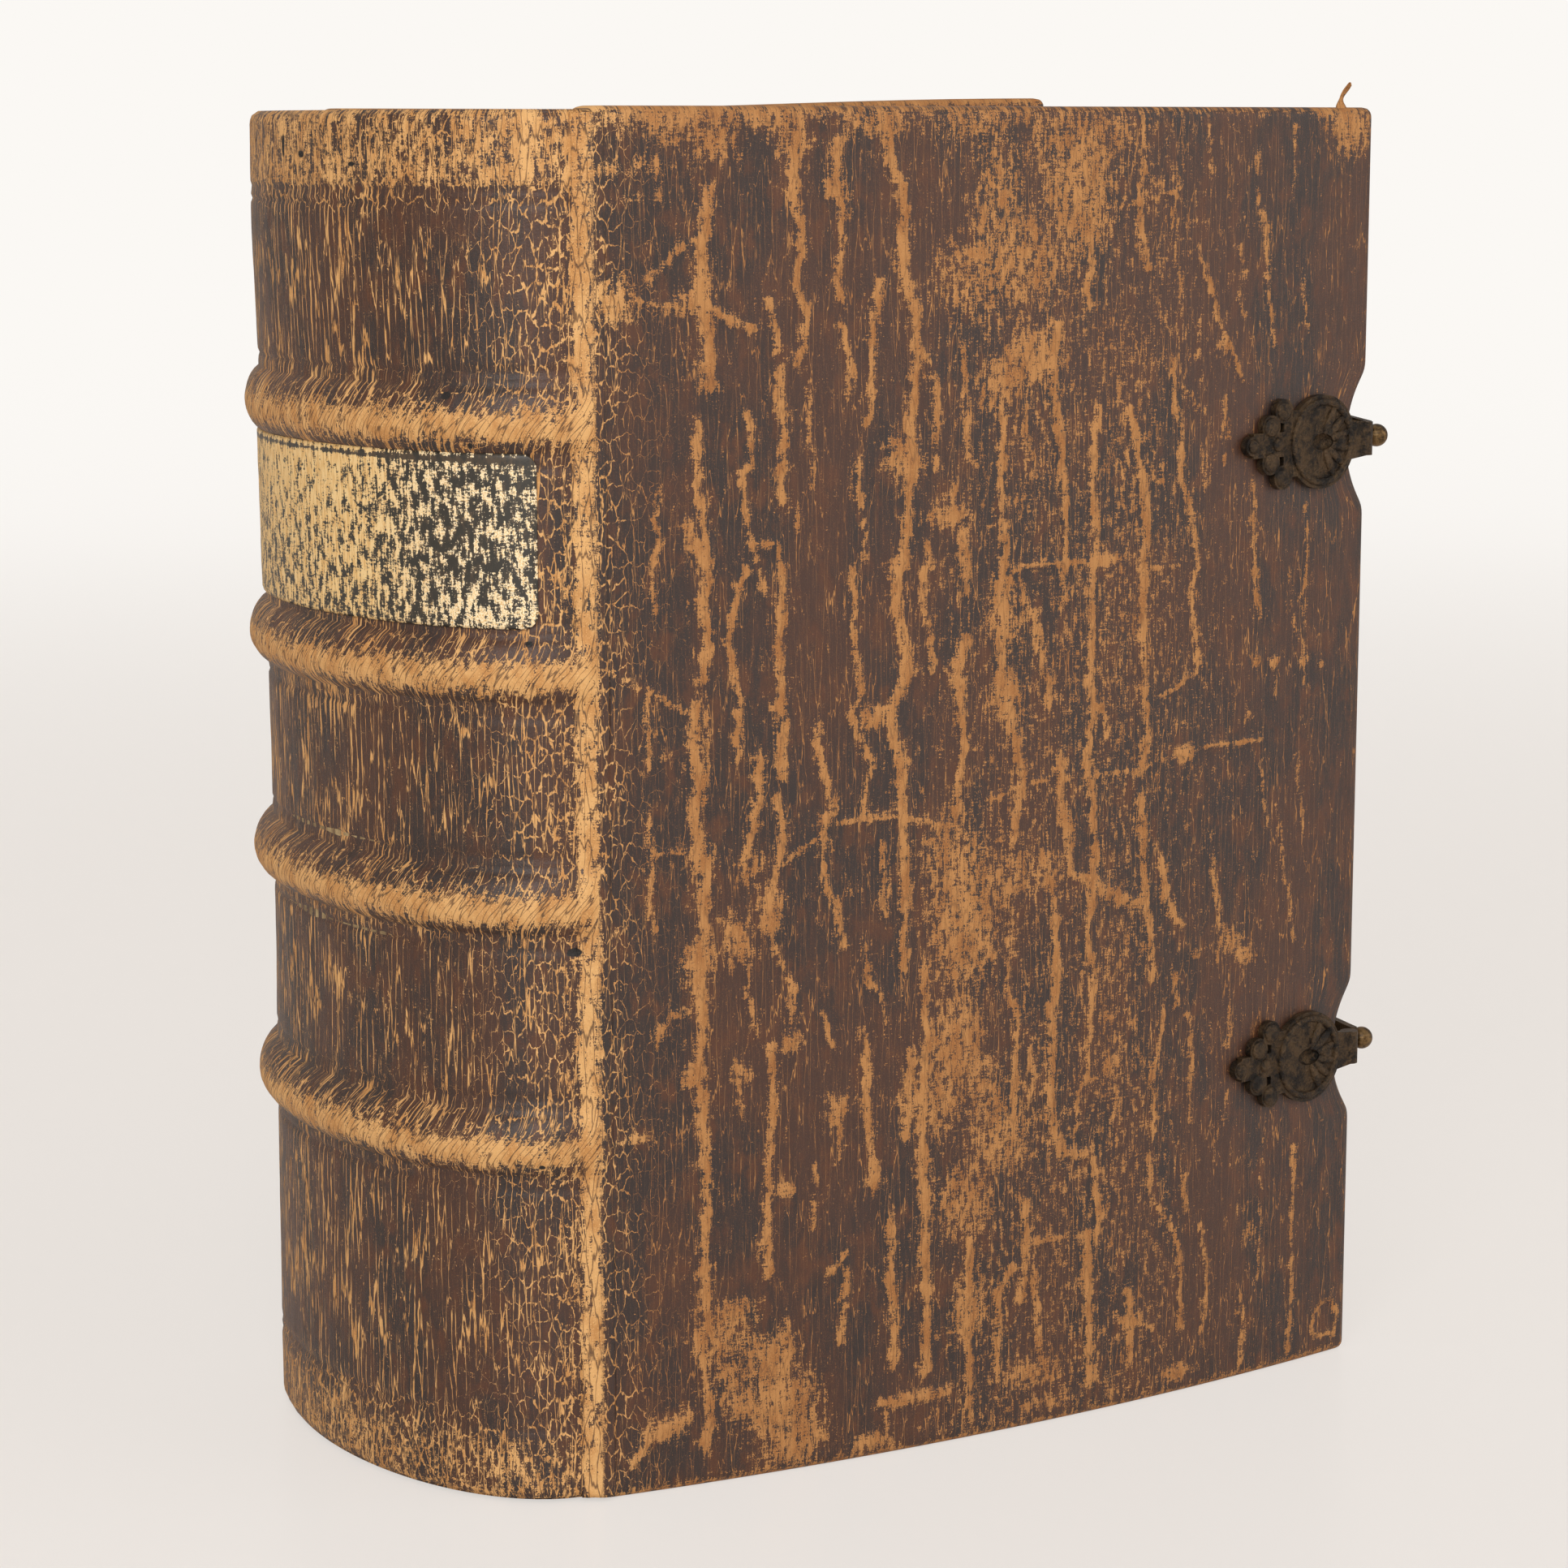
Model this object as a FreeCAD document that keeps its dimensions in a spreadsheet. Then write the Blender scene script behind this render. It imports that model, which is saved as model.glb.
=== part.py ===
"""Antique leather book with raised bands, wooden boards and two clasps.

The book stands on its tail edge. Z is up, the spine looks to -X, the front
cover to -Y. The origin is under the middle of the bounding box.
Every cover piece is cut from round walls that share one bow centre, so the
board, its leather and its pastedown keep their thickness all over.
"""
import FreeCAD
import Part
import Sketcher
import math
import os
import re

doc = FreeCAD.newDocument("AntiqueBook")

# Driving sizes in millimetres
SIZES = {
    "board_height": 200,
    "board_width": 138,
    "board_thickness": 5,
    "back_corner_rise": 2,
    "joint_thickness": 86,
    "middle_thickness": 100,
    "fore_thickness": 93,
    "leather": 1.2,
    "turned_leather": 0.6,
    "turned_width": 15,
    "paper": 0.3,
    "paper_margin": 3,
    "edge_round": 1.1,
    "board_play": 0.3,
    "joint_play": 0.3,
    "page_square": 3.5,
    "fore_hollow": 6,
    "spine_width": 84,
    "spine_bulge": 23.7,
    "spine_cap_drop": 0.5,
    "cap_depth": 3,
    "lining": 1,
    "band_reach": 42.3,
    "band_one": 157.1,
    "band_two": 122.1,
    "band_three": 88.8,
    "band_four": 53.7,
    "cord_height": 6,
    "cord_depth": 4,
    "cord_stand": 1.8,
    "cord_sink": 0.6,
    "label_low": 128,
    "label_high": 152.5,
    "label_thickness": 0.4,
    "label_edge": 7.3,
    "clasp_high": 148.9,
    "clasp_low": 51,
    "notch_height": 21,
    "notch_depth": 4,
    "plate_radius": 7.3,
    "plate_thickness": 1,
    "plate_inset": 11.5,
    "plate_tail": 16.4,
    "tip_radius": 1.5,
    "lobe_radius": 1.9,
    "outer_lobe_back": 11.1,
    "outer_lobe_aside": 2.7,
    "inner_lobe_back": 8.4,
    "inner_lobe_aside": 5.1,
    "rim_round": 0.55,
    "rib_half_length": 2.6,
    "rib_half_width": 0.75,
    "heart_half_length": 2.2,
    "heart_half_width": 1.3,
    "heart_rise": 0.9,
    "boss_margin": 0.4,
    "tab_height": 6.8,
    "tab_end": 5.2,
    "bar_radius": 1.4,
    "bar_inset": 1.2,
    "nail_shank": 0.5,
    "nail_head": 1.1,
    "nail_dome": 0.65,
    "nail_length": 5,
    "tail_nail": 9.6,
    "disc_nail": 4,
    "anchor_height": 11,
    "pin_radius": 0.6,
    "pin_play": 0.05,
    "knuckle_radius": 1.4,
    "knuckle_play": 0.25,
    "arm_play": 0.6,
    "arm_height": 6.4,
    "arm_waist": 5,
    "arm_thickness": 1.2,
    "knob_radius": 1.8,
    "knob_stem": 0.8,
    "overcut": 5,
}

# The origin lies under the middle of the box, so the joint line stands left of it
WORKED = {
    "band_out": "spine_bulge - lining + cord_stand + cord_depth / 2",
    "knob_out": "board_width + arm_play + arm_thickness + knob_stem + 2 * knob_radius",
    "joint_x": "(band_out - knob_out) / 2",
    "half_joint": "joint_thickness / 2",
    "half_middle": "middle_thickness / 2",
    "half_fore": "fore_thickness / 2",
    "bow_y": "(board_width ^ 2 / 2 + half_joint ^ 2 + half_fore ^ 2 - 2 * half_middle ^ 2)"
             " / (4 * half_middle - 2 * half_joint - 2 * half_fore)",
    "bow_x": "joint_x + board_width / 2"
             " + (half_fore - half_joint) * (half_fore + half_joint + 2 * bow_y) / (2 * board_width)",
    "bow_radius": "sqrt((bow_x - joint_x - board_width / 2) ^ 2 + (half_middle + bow_y) ^ 2)",
    "board_outer": "bow_radius - leather",
    "board_inner": "board_outer - board_thickness",
    "turned_inner": "board_inner - turned_leather",
    "paper_inner": "turned_inner - paper",
    "page_radius": "paper_inner - board_play",
    "half_gap": "joint_play / 2",
    "fore_x": "joint_x + board_width",
    "notch_radius": "(notch_height ^ 2 / 4 + notch_depth ^ 2) / (2 * notch_depth)",
    "page_top": "board_height - page_square",
    "text_bulge": "spine_bulge - leather - lining",
    "text_half": "spine_width / 2 - leather - lining",
    "cap_top": "board_height - spine_cap_drop",
    "endband_radius": "(page_square - spine_cap_drop - leather) / 2",
    "plate_x": "fore_x - plate_inset",
    "plate_lean": "asin((plate_x - bow_x) / bow_radius) / 1 deg",
    "plate_y": "sqrt(bow_radius ^ 2 - (plate_x - bow_x) ^ 2) - bow_y",
    "bar_reach": "plate_inset - bar_inset",
    "bar_x": "plate_x + bar_reach * cos(plate_lean * 1 deg)",
    "bar_y": "plate_y - bar_reach * sin(plate_lean * 1 deg)",
    "hinge_x": "fore_x + arm_play + arm_thickness",
    "hinge_y": "half_fore + plate_thickness - knuckle_radius / 2",
    "arm_end": "half_fore - bar_radius",
    "knob_x": "hinge_x + knob_stem + knob_radius",
    "knob_y": "arm_end - knob_radius",
    "arm_half": "arm_height / 2",
    "waist_half": "arm_waist / 2",
    "shoulder_y": "hinge_y - 2 * arm_height",
    "waist_y": "hinge_y - 3 * arm_height",
    "hook_waist_y": "2 * arm_height - arm_end",
    "hook_shoulder_y": "arm_height - arm_end",
    "hook_end_y": "-arm_end",
}

# The sheet holds the driving sizes, the variable set what follows from them
sheet = doc.addObject("Spreadsheet::Sheet", "Sizes")
for row, (word, number) in enumerate(SIZES.items(), start=1):
    sheet.set(f"A{row}", word)
    sheet.set(f"B{row}", str(number))
    sheet.setAlias(f"B{row}", word)
doc.recompute()
worked = doc.addObject("App::VarSet", "Worked")


def formula(text):
    """Turn plain size names into references to the sheet or the variable set."""
    def reference(match):
        word = match.group()
        if word in SIZES:
            return "Sizes." + word
        if word in WORKED:
            return "Worked." + word
        return word
    return re.sub(r"[a-z_]+", reference, text)


for word, text in WORKED.items():
    worked.addProperty("App::PropertyFloat", word)
    worked.setExpression(word, formula(text))
    doc.recompute()


def amount(word):
    """Give the present value of a driving or worked size."""
    if word in SIZES:
        return float(sheet.get(word))
    return float(getattr(worked, word))


def bind(piece, **properties):
    """Bind properties of a piece to formulas."""
    for name, text in properties.items():
        piece.setExpression(name, formula(str(text)))


def place(piece, x="0", y="0", z="0"):
    """Bind the position of a piece to formulas."""
    piece.setExpression("Placement.Base.x", formula(x))
    piece.setExpression("Placement.Base.y", formula(y))
    piece.setExpression("Placement.Base.z", formula(z))
    return piece


def turn(piece, axis, degrees):
    """Turn a piece about an axis through its own origin."""
    base = piece.Placement.Base
    piece.Placement = FreeCAD.Placement(base, FreeCAD.Rotation(FreeCAD.Vector(*axis), degrees))
    return piece


def box(name, low, high):
    """A box between two corners that are given as formulas."""
    piece = doc.addObject("Part::Box", name)
    sides = [f"({far}) - ({near})" for near, far in zip(low, high)]
    bind(piece, Length=sides[0], Width=sides[1], Height=sides[2])
    return place(piece, *low)


def cylinder(name, radius, height, x, y, z):
    """An upright round bar."""
    piece = doc.addObject("Part::Cylinder", name)
    bind(piece, Radius=radius, Height=height)
    return place(piece, x, y, z)


def across(name, radius, length, x, y, z):
    """A round bar that runs along +Y from its start."""
    return turn(cylinder(name, radius, length, x, y, z), (1, 0, 0), -90)


def ball(name, radius, x, y, z):
    """A ball."""
    piece = doc.addObject("Part::Sphere", name)
    bind(piece, Radius=radius)
    return place(piece, x, y, z)


def oval_boss(name, sizes, x, y, z):
    """A rounded boss with half sizes along X, Y and Z."""
    piece = doc.addObject("Part::Ellipsoid", name)
    bind(piece, Radius2=sizes[0], Radius3=sizes[1], Radius1=sizes[2])
    return place(piece, x, y, z)


def cut(name, base, *tools):
    """Take tools away from a base, one after another."""
    for number, tool in enumerate(tools):
        piece = doc.addObject("Part::Cut", name if number == len(tools) - 1 else f"{name}_step_{number}")
        piece.Base = base
        piece.Tool = tool
        base = piece
    return base


def common(name, *shapes):
    """Keep what all shapes share."""
    piece = doc.addObject("Part::MultiCommon", name)
    piece.Shapes = list(shapes)
    return piece


def join(name, *shapes):
    """Fuse shapes into one."""
    piece = doc.addObject("Part::MultiFuse", name)
    piece.Shapes = list(shapes)
    return piece


def rounded(name, base, radius, wanted):
    """Round the edges of a base for which the test says yes."""
    doc.recompute()
    piece = doc.addObject("Part::Fillet", name)
    piece.Base = base
    edges = enumerate(base.Shape.Edges, start=1)
    piece.Edges = [(number, amount(radius), amount(radius)) for number, edge in edges if wanted(edge)]
    return piece


subparts = {}


def finished(name, piece):
    """Name a piece as one of the parts of the book."""
    piece.Label = name
    subparts[name] = piece
    return piece


# Where the two clasps are
CLASPS = (("upper", "clasp_high"), ("lower", "clasp_low"))

# Cutting bars start below the book and end above it
BELOW = "-overcut"
TALL = "board_height + back_corner_rise + 2 * overcut"


# Boards, leather and pastedowns


def wall_round(name, side, radius):
    """The round bar whose outside is one curved face of a cover."""
    bow = "bow_y" if side < 0 else "-bow_y"
    return cylinder(name, radius, TALL, "bow_x", bow, BELOW)


def slab(name, side, outer, inner, left, right, low, high):
    """A bowed slab between two radii, with straight ends."""
    near, far = ("-middle_thickness", "-1") if side < 0 else ("1", "middle_thickness")
    block = box(name + "_block", (left, near, low), (right, far, high))
    solid = common(name + "_solid", wall_round(name + "_outside", side, outer), block)
    return cut(name + "_slab", solid, wall_round(name + "_inside", side, inner))


def notch_cutters(name, side, wall):
    """The round bars that hollow the fore-edge of the front cover where the clasps cross it."""
    cutters = []
    if side > 0:
        return cutters
    for word, level in CLASPS:
        cutters.append(across(f"{name}_notch_{word}", f"notch_radius + {wall}", "middle_thickness",
                              "fore_x + notch_radius - notch_depth", "-middle_thickness", level))
    return cutters


def slope_cutter(name, side, drop):
    """The block above the top edge of the back cover, which rises to the fore-edge."""
    block = box(name + "_slope", ("joint_x", "0", f"board_height - {drop}"),
                ("fore_x + overcut", "middle_thickness", "board_height + back_corner_rise + overcut"))
    turn(block, (0, -1, 0), 1)
    block.setExpression("Placement.Rotation.Angle", formula("atan(back_corner_rise / board_width)"))
    return block


def cover(side, word):
    """Make the board, the leather and the pastedown of one cover."""
    rise = "0" if side < 0 else "back_corner_rise"
    tall = f"board_height + {rise}"
    left = "joint_x + half_gap"

    skin = slab(word + "_skin", side, "bow_radius", "turned_inner", left, "fore_x", "0", tall)
    cutters = notch_cutters(word + "_skin", side, "0")
    if side > 0:
        cutters.append(slope_cutter(word + "_skin", side, "0"))
    skin = cut(word + "_skin_trimmed", skin, *cutters)

    def outside_edge(edge):
        """True for the edges of the outer face, apart from the ends at the notches."""
        middle = edge.valueAt((edge.FirstParameter + edge.LastParameter) / 2)
        reach = math.hypot(middle.x - amount("bow_x"), abs(middle.y) + amount("bow_y"))
        at_joint = abs(middle.x - amount("joint_x") - amount("half_gap")) < 0.01
        return abs(reach - amount("bow_radius")) < 0.02 and not at_joint

    skin = rounded(word + "_skin_rounded", skin, "edge_round", outside_edge)

    board = slab(word + "_core", side, "board_outer", "board_inner",
                 left + " + leather", "fore_x - leather", "leather", tall + " - leather")
    cutters = notch_cutters(word + "_core", side, "leather")
    if side > 0:
        cutters.append(slope_cutter(word + "_core", side, "leather"))
    board = cut(word + "_core_trimmed", board, *cutters)

    window_high = "board_height - turned_width"
    window = slab(word + "_window", side, "board_inner", "paper_inner",
                  left + " + leather", "fore_x - turned_width", "turned_width", window_high)
    sheet_face = slab(word + "_face", side, "turned_inner", "paper_inner",
                      left + " + leather", "fore_x - notch_depth - paper_margin",
                      "paper_margin", "board_height - paper_margin")
    paper = join(word + "_paper", window, sheet_face)
    leather = cut(word + "_hide", skin, board, window)
    return board, leather, finished(word + "_pastedown", paper)


front_board, front_leather, front_pastedown = cover(-1, "front")
back_board, back_leather, back_pastedown = cover(1, "back")


# Spine and pages
def oval_bar(name, bulge, half, low, high):
    """An upright oval bar that is centred on the joint line."""
    ring = doc.addObject("Part::Ellipse", name + "_oval")
    bind(ring, MajorRadius=half, MinorRadius=bulge)
    turn(ring, (0, 0, 1), 90)
    place(ring, "joint_x", "0", low)
    bar = doc.addObject("Part::Extrusion", name)
    bar.Base = ring
    bar.DirMode = "Custom"
    bar.Dir = FreeCAD.Vector(0, 0, 1)
    bar.Solid = True
    bind(bar, LengthFwd=f"({high}) - ({low})")
    return bar


def oval_roll(name, bulge, half, level, section_height, section_depth):
    """A roll with an oval section that follows the rounded spine."""
    path = doc.addObject("Part::Ellipse", name + "_path")
    bind(path, MajorRadius=half, MinorRadius=bulge)
    path.Angle1 = 0
    path.Angle2 = 180
    turn(path, (0, 0, 1), 90)
    place(path, "joint_x", "0", level)
    section = doc.addObject("Part::Ellipse", name + "_section")
    bind(section, MajorRadius=f"({section_height}) / 2", MinorRadius=f"({section_depth}) / 2")
    turn(section, (0, 1, 0), -90)
    place(section, "joint_x", half, level)
    roll = doc.addObject("Part::Sweep", name)
    roll.Sections = [section]
    roll.Spine = (path, ["Edge1"])
    roll.Solid = True
    roll.Frenet = True
    return roll


def spine_side(name, reach="spine_width", gap="half_gap"):
    """The space left of the joint line."""
    return box(name, ("joint_x - 2 * spine_bulge", f"-({reach})", BELOW),
               (f"joint_x - {gap}", reach, TALL))


BANDS = ("band_one", "band_two", "band_three", "band_four")
cord_rolls = []
band_rolls = []
for number, level in enumerate(BANDS, start=1):
    bulge = "text_bulge + cord_stand"
    half = "text_half - cord_sink"
    cord_rolls.append(oval_roll(f"cord_roll_{number}", bulge, half, level, "cord_height", "cord_depth"))
    band_rolls.append(oval_roll(f"band_roll_{number}", bulge, half, level,
                                "cord_height + 2 * leather", "cord_depth + 2 * leather"))
    cord = common(f"cord_{number}", cord_rolls[-1], spine_side(f"cord_side_{number}"))
    finished(f"sewing_cord_{number}", cord)

pages = box("pages_block", ("joint_x - half_gap", "-middle_thickness", "page_square"),
            ("fore_x - page_square", "middle_thickness", "page_top"))
pages = common("pages_bowed", pages, wall_round("pages_front", -1, "page_radius"),
               wall_round("pages_back", 1, "page_radius"))
hollow_radius = "(half_fore ^ 2 + fore_hollow ^ 2) / (2 * fore_hollow)"
hollow = cylinder("pages_hollow", hollow_radius, TALL,
                  f"fore_x - page_square - fore_hollow + {hollow_radius}", "0", BELOW)
pages = cut("pages_hollowed", pages, hollow)
rounding = oval_bar("pages_oval", "text_bulge", "text_half", "page_square", "page_top")
rounding = common("pages_rounding", rounding, spine_side("pages_side"))
pages = join("pages", pages, rounding)
finished("text_block", cut("text_block_cut", pages, *cord_rolls))

lining_levels = ["page_square"]
for level in reversed(BANDS):
    lining_levels += [f"{level} - cord_height / 2", f"{level} + cord_height / 2"]
lining_levels.append("page_top")
for number in range(len(BANDS) + 1):
    low, high = lining_levels[2 * number], lining_levels[2 * number + 1]
    outside = oval_bar(f"lining_outside_{number}", "text_bulge + lining", "text_half + lining", low, high)
    inside = oval_bar(f"lining_inside_{number}", "text_bulge", "text_half", "0", TALL)
    shell = cut(f"lining_shell_{number}", outside, inside)
    lining = common(f"lining_{number}", shell, spine_side(f"lining_side_{number}"))
    finished(f"spine_lining_{len(BANDS) + 1 - number}", lining)

for word, level in (("head", "page_top + endband_radius"), ("tail", "page_square - endband_radius")):
    roll = oval_roll(word + "_roll", "text_bulge - endband_radius", "text_half - endband_radius", level,
                     "2 * endband_radius", "2 * endband_radius")
    finished(word + "_endband", common(word + "_band", roll, spine_side(word + "_band_side")))

hide = oval_bar("spine_outside", "spine_bulge", "spine_width / 2", "spine_cap_drop", "cap_top")
hide = join("spine_hide", hide, *band_rolls)
room = oval_bar("spine_room", "spine_bulge - leather", "spine_width / 2 - leather",
                "spine_cap_drop + leather", "cap_top - leather")
mouth = oval_bar("spine_mouth", "text_bulge - cap_depth", "text_half - cap_depth", "0", TALL)
hide = cut("spine_shell", hide, room, mouth, *cord_rolls)
hide = common("spine_leather_half", hide, spine_side("spine_leather_side", reach="band_reach"))
finished("spine_leather", hide)

label = oval_bar("label_outside", "spine_bulge + label_thickness", "spine_width / 2 + label_thickness",
                 "label_low", "label_high")
label = cut("label_shell", label, oval_bar("label_inside", "spine_bulge", "spine_width / 2", "0", TALL))
finished("title_label", common("label", label, spine_side("label_side", gap="label_edge")))


# Catch plates on the front cover and anchor plates on the back cover
LOBES = (("tip_radius - plate_tail", "0", "tip_radius"),
         ("-outer_lobe_back", "outer_lobe_aside", "lobe_radius"),
         ("-outer_lobe_back", "-outer_lobe_aside", "lobe_radius"),
         ("-inner_lobe_back", "inner_lobe_aside", "lobe_radius"),
         ("-inner_lobe_back", "-inner_lobe_aside", "lobe_radius"))
RIB_DEGREES = (-64, -38, -13, 13, 38, 64)


def lay_on_cover(piece, side, level):
    """Set a piece that was drawn flat at the origin on the bowed face of a cover."""
    sign = "" if side < 0 else "-"
    piece.setExpression("Placement.Rotation.Angle", formula(sign + "plate_lean * 1 deg"))
    return place(piece, "plate_x", "-plate_y" if side < 0 else "plate_y", level)


def flat_plate(name):
    """The flat outline of a cast plate: a round disc and a leaf of five lobes."""
    low = "-plate_thickness"
    thick = "2 * plate_thickness"
    forms = [across(name + "_disc", "plate_radius", thick, "0", low, "0")]
    for x, z, radius in LOBES:
        forms.append(across(name + "_lobe", radius, thick, x, low, z))
    forms.append(box(name + "_leaf", ("tip_radius - plate_tail", low, "-lobe_radius"),
                     ("-plate_radius / 2", "plate_thickness", "lobe_radius")))
    forms.append(box(name + "_shoulder", ("-inner_lobe_back", low, "-inner_lobe_aside"),
                     ("-plate_radius / 2", "plate_thickness", "inner_lobe_aside")))
    return forms


def tab(name):
    """The tab of a catch, which gets narrower towards its bar."""
    piece = doc.addObject("Part::Wedge", name)
    bind(piece, Ymin="plate_radius / 2", Ymax="bar_reach")
    bind(piece, Xmin="-plate_thickness / 2", Xmax="plate_thickness")
    bind(piece, X2min="-plate_thickness / 2", X2max="plate_thickness")
    bind(piece, Zmin="-tab_height / 2", Zmax="tab_height / 2")
    bind(piece, Z2min="-tab_end / 2", Z2max="tab_end / 2")
    return turn(piece, (0, 0, 1), -90)


def relief(name, side, level):
    """The raised work on a cast plate: a rim, six ribs that fan out, a heart and a boss on each lobe."""
    face = "-plate_thickness" if side < 0 else "plate_thickness"
    rim = doc.addObject("Part::Torus", name + "_rim")
    bind(rim, Radius1="plate_radius - 2 * rim_round", Radius2="rim_round")
    turn(rim, (1, 0, 0), 90)
    forms = [place(rim, "0", face, "0")]
    for angle in RIB_DEGREES:
        rib = oval_boss(name + "_rib", ("rib_half_length", "rim_round", "rib_half_width"), "0", "0", "0")
        turn(rib, (0, 1, 0), angle)
        forms.append(place(rib, f"plate_radius / 2 * cos({angle} deg)", face,
                           f"-plate_radius / 2 * sin({angle} deg)"))
    for x, z, radius in LOBES:
        half_sizes = (f"{radius} - boss_margin", "rim_round", f"{radius} - boss_margin")
        forms.append(oval_boss(name + "_boss", half_sizes, x, face, z))
    forms.append(oval_boss(name + "_heart", ("heart_half_length", "heart_rise", "heart_half_width"),
                           "0", face, "0"))
    return lay_on_cover(join(name + "_relief", *forms), side, level)


def nails_for(name, side, level):
    """Two nails with domed heads, set along the middle of a plate."""
    nails = []
    for number, x in enumerate(("-tail_nail", "disc_nail")):
        start = "-plate_thickness" if side < 0 else "-nail_length"
        face = "-plate_thickness" if side < 0 else "plate_thickness"
        shank = across(f"{name}_shank_{number}", "nail_shank", "nail_length + plate_thickness", x, start, "0")
        dome = oval_boss(f"{name}_dome_{number}", ("nail_head", "nail_dome", "nail_head"), x, face, "0")
        nails.append(lay_on_cover(join(f"{name}_nail_{number}", shank, dome), side, level))
    return nails


catch_nails = []
anchor_nails = []
for word, level in CLASPS:
    forms = flat_plate(word + "_catch")
    forms.append(tab(word + "_tab"))
    form = lay_on_cover(join(word + "_catch_form", *forms), -1, level)
    form = cut(word + "_catch_seated", form, wall_round(word + "_catch_seat", -1, "bow_radius"))
    bar = cylinder(word + "_bar", "bar_radius", "tab_end", "bar_x", "-bar_y", f"{level} - tab_end / 2")
    nails = nails_for(word + "_catch", -1, level)
    catch_nails += nails
    form = join(word + "_catch_barred", form, bar)
    form = join(word + "_catch_cast", form, relief(word + "_catch", -1, level))
    finished(word + "_catch", cut(word + "_catch_nailed", form, *nails))

    forms = flat_plate(word + "_anchor")
    forms.append(box(word + "_tongue", ("plate_radius / 2", "-plate_thickness", "-anchor_height / 2"),
                     ("hinge_x - plate_x", "plate_thickness", "anchor_height / 2")))
    form = lay_on_cover(join(word + "_anchor_form", *forms), 1, level)
    form = cut(word + "_anchor_seated", form, wall_round(word + "_anchor_seat", 1, "bow_radius"))
    roll = cylinder(word + "_roll", "knuckle_radius", "anchor_height", "hinge_x", "hinge_y",
                    f"{level} - anchor_height / 2")
    slot = box(word + "_slot",
               ("hinge_x - knuckle_radius - knuckle_play", "0", f"{level} - arm_half - knuckle_play"),
               ("hinge_x + overcut", "middle_thickness", f"{level} + arm_half + knuckle_play"))
    pin = cylinder(word + "_pin", "pin_radius", "anchor_height", "hinge_x", "hinge_y",
                   f"{level} - anchor_height / 2")
    nails = nails_for(word + "_anchor", 1, level)
    anchor_nails += nails
    form = join(word + "_anchor_rolled", form, roll)
    form = join(word + "_anchor_cast", form, relief(word + "_anchor", 1, level))
    finished(word + "_anchor", cut(word + "_anchor_nailed", form, slot, pin, *nails))
    finished(word + "_hinge_pin", pin)

nail_group = doc.addObject("Part::Compound", "catch_nail_group")
nail_group.Links = catch_nails
finished("catch_nails", nail_group)
nail_group = doc.addObject("Part::Compound", "anchor_nail_group")
nail_group.Links = anchor_nails
finished("anchor_nails", nail_group)
finished("front_board", cut("front_board_nailed", front_board, *catch_nails))
finished("front_leather", cut("front_leather_nailed", front_leather, *catch_nails))
finished("back_board", cut("back_board_nailed", back_board, *anchor_nails))
finished("back_leather", cut("back_leather_nailed", back_leather, *anchor_nails))


# Clasp arms and their knobs
ARM_OUTLINE = (("hinge_y", "arm_half"), ("shoulder_y", "arm_half"), ("waist_y", "waist_half"),
               ("hook_waist_y", "waist_half"), ("hook_shoulder_y", "arm_half"), ("hook_end_y", "waist_half"))


def arm_body(name, level):
    """A flat strap with a waist, seen from the fore-edge, padded to its thickness."""
    body = doc.addObject("PartDesign::Body", name + "_body")
    sketch = body.newObject("Sketcher::SketchObject", name + "_outline")
    plane = next(item for item in body.Origin.OriginFeatures if item.Role == "YZ_Plane")
    sketch.AttachmentSupport = [(plane, "")]
    sketch.MapMode = "FlatFace"
    outline = [(along, half, "") for along, half in ARM_OUTLINE]
    outline += [(along, half, "-") for along, half in reversed(ARM_OUTLINE)]
    corners = [FreeCAD.Vector(amount(along), -amount(half) if sign else amount(half), 0)
               for along, half, sign in outline]
    for number, corner in enumerate(corners):
        sketch.addGeometry(Part.LineSegment(corner, corners[(number + 1) % len(corners)]))
    for number in range(len(corners)):
        sketch.addConstraint(Sketcher.Constraint("Coincident", number, 2, (number + 1) % len(corners), 1))
    for number, (along, half, sign) in enumerate(outline):
        corner = corners[number]
        for kind, rule, now in (("DistanceX", along, corner.x), ("DistanceY", sign + half, corner.y)):
            index = sketch.addConstraint(Sketcher.Constraint(kind, -1, 1, number, 1, now))
            sketch.setExpression(f"Constraints[{index}]", formula(rule))
    pad = body.newObject("PartDesign::Pad", name + "_pad")
    pad.Profile = sketch
    bind(pad, Length="arm_thickness")
    body.Tip = pad
    return place(body, "hinge_x - arm_thickness", "0", level)


for word, level in CLASPS:
    strap = arm_body(word + "_arm", level)
    roll = cylinder(word + "_arm_roll", "knuckle_radius", "arm_height", "hinge_x", "hinge_y",
                    f"{level} - arm_half")
    bore = cylinder(word + "_arm_bore", "pin_radius + pin_play", "arm_height + 2 * overcut",
                    "hinge_x", "hinge_y", f"{level} - arm_half - overcut")
    stem = cylinder(word + "_stem", "knob_radius / 2", "knob_stem + arm_thickness + knob_radius",
                    "hinge_x - arm_thickness", "-knob_y", level)
    turn(stem, (0, 1, 0), 90)
    knob = join(word + "_knob_form", stem, ball(word + "_ball", "knob_radius", "knob_x", "-knob_y", level))
    finished(word + "_knob", knob)
    finished(word + "_clasp", cut(word + "_clasp_cut", join(word + "_clasp_form", strap, roll), bore, knob))

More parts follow.
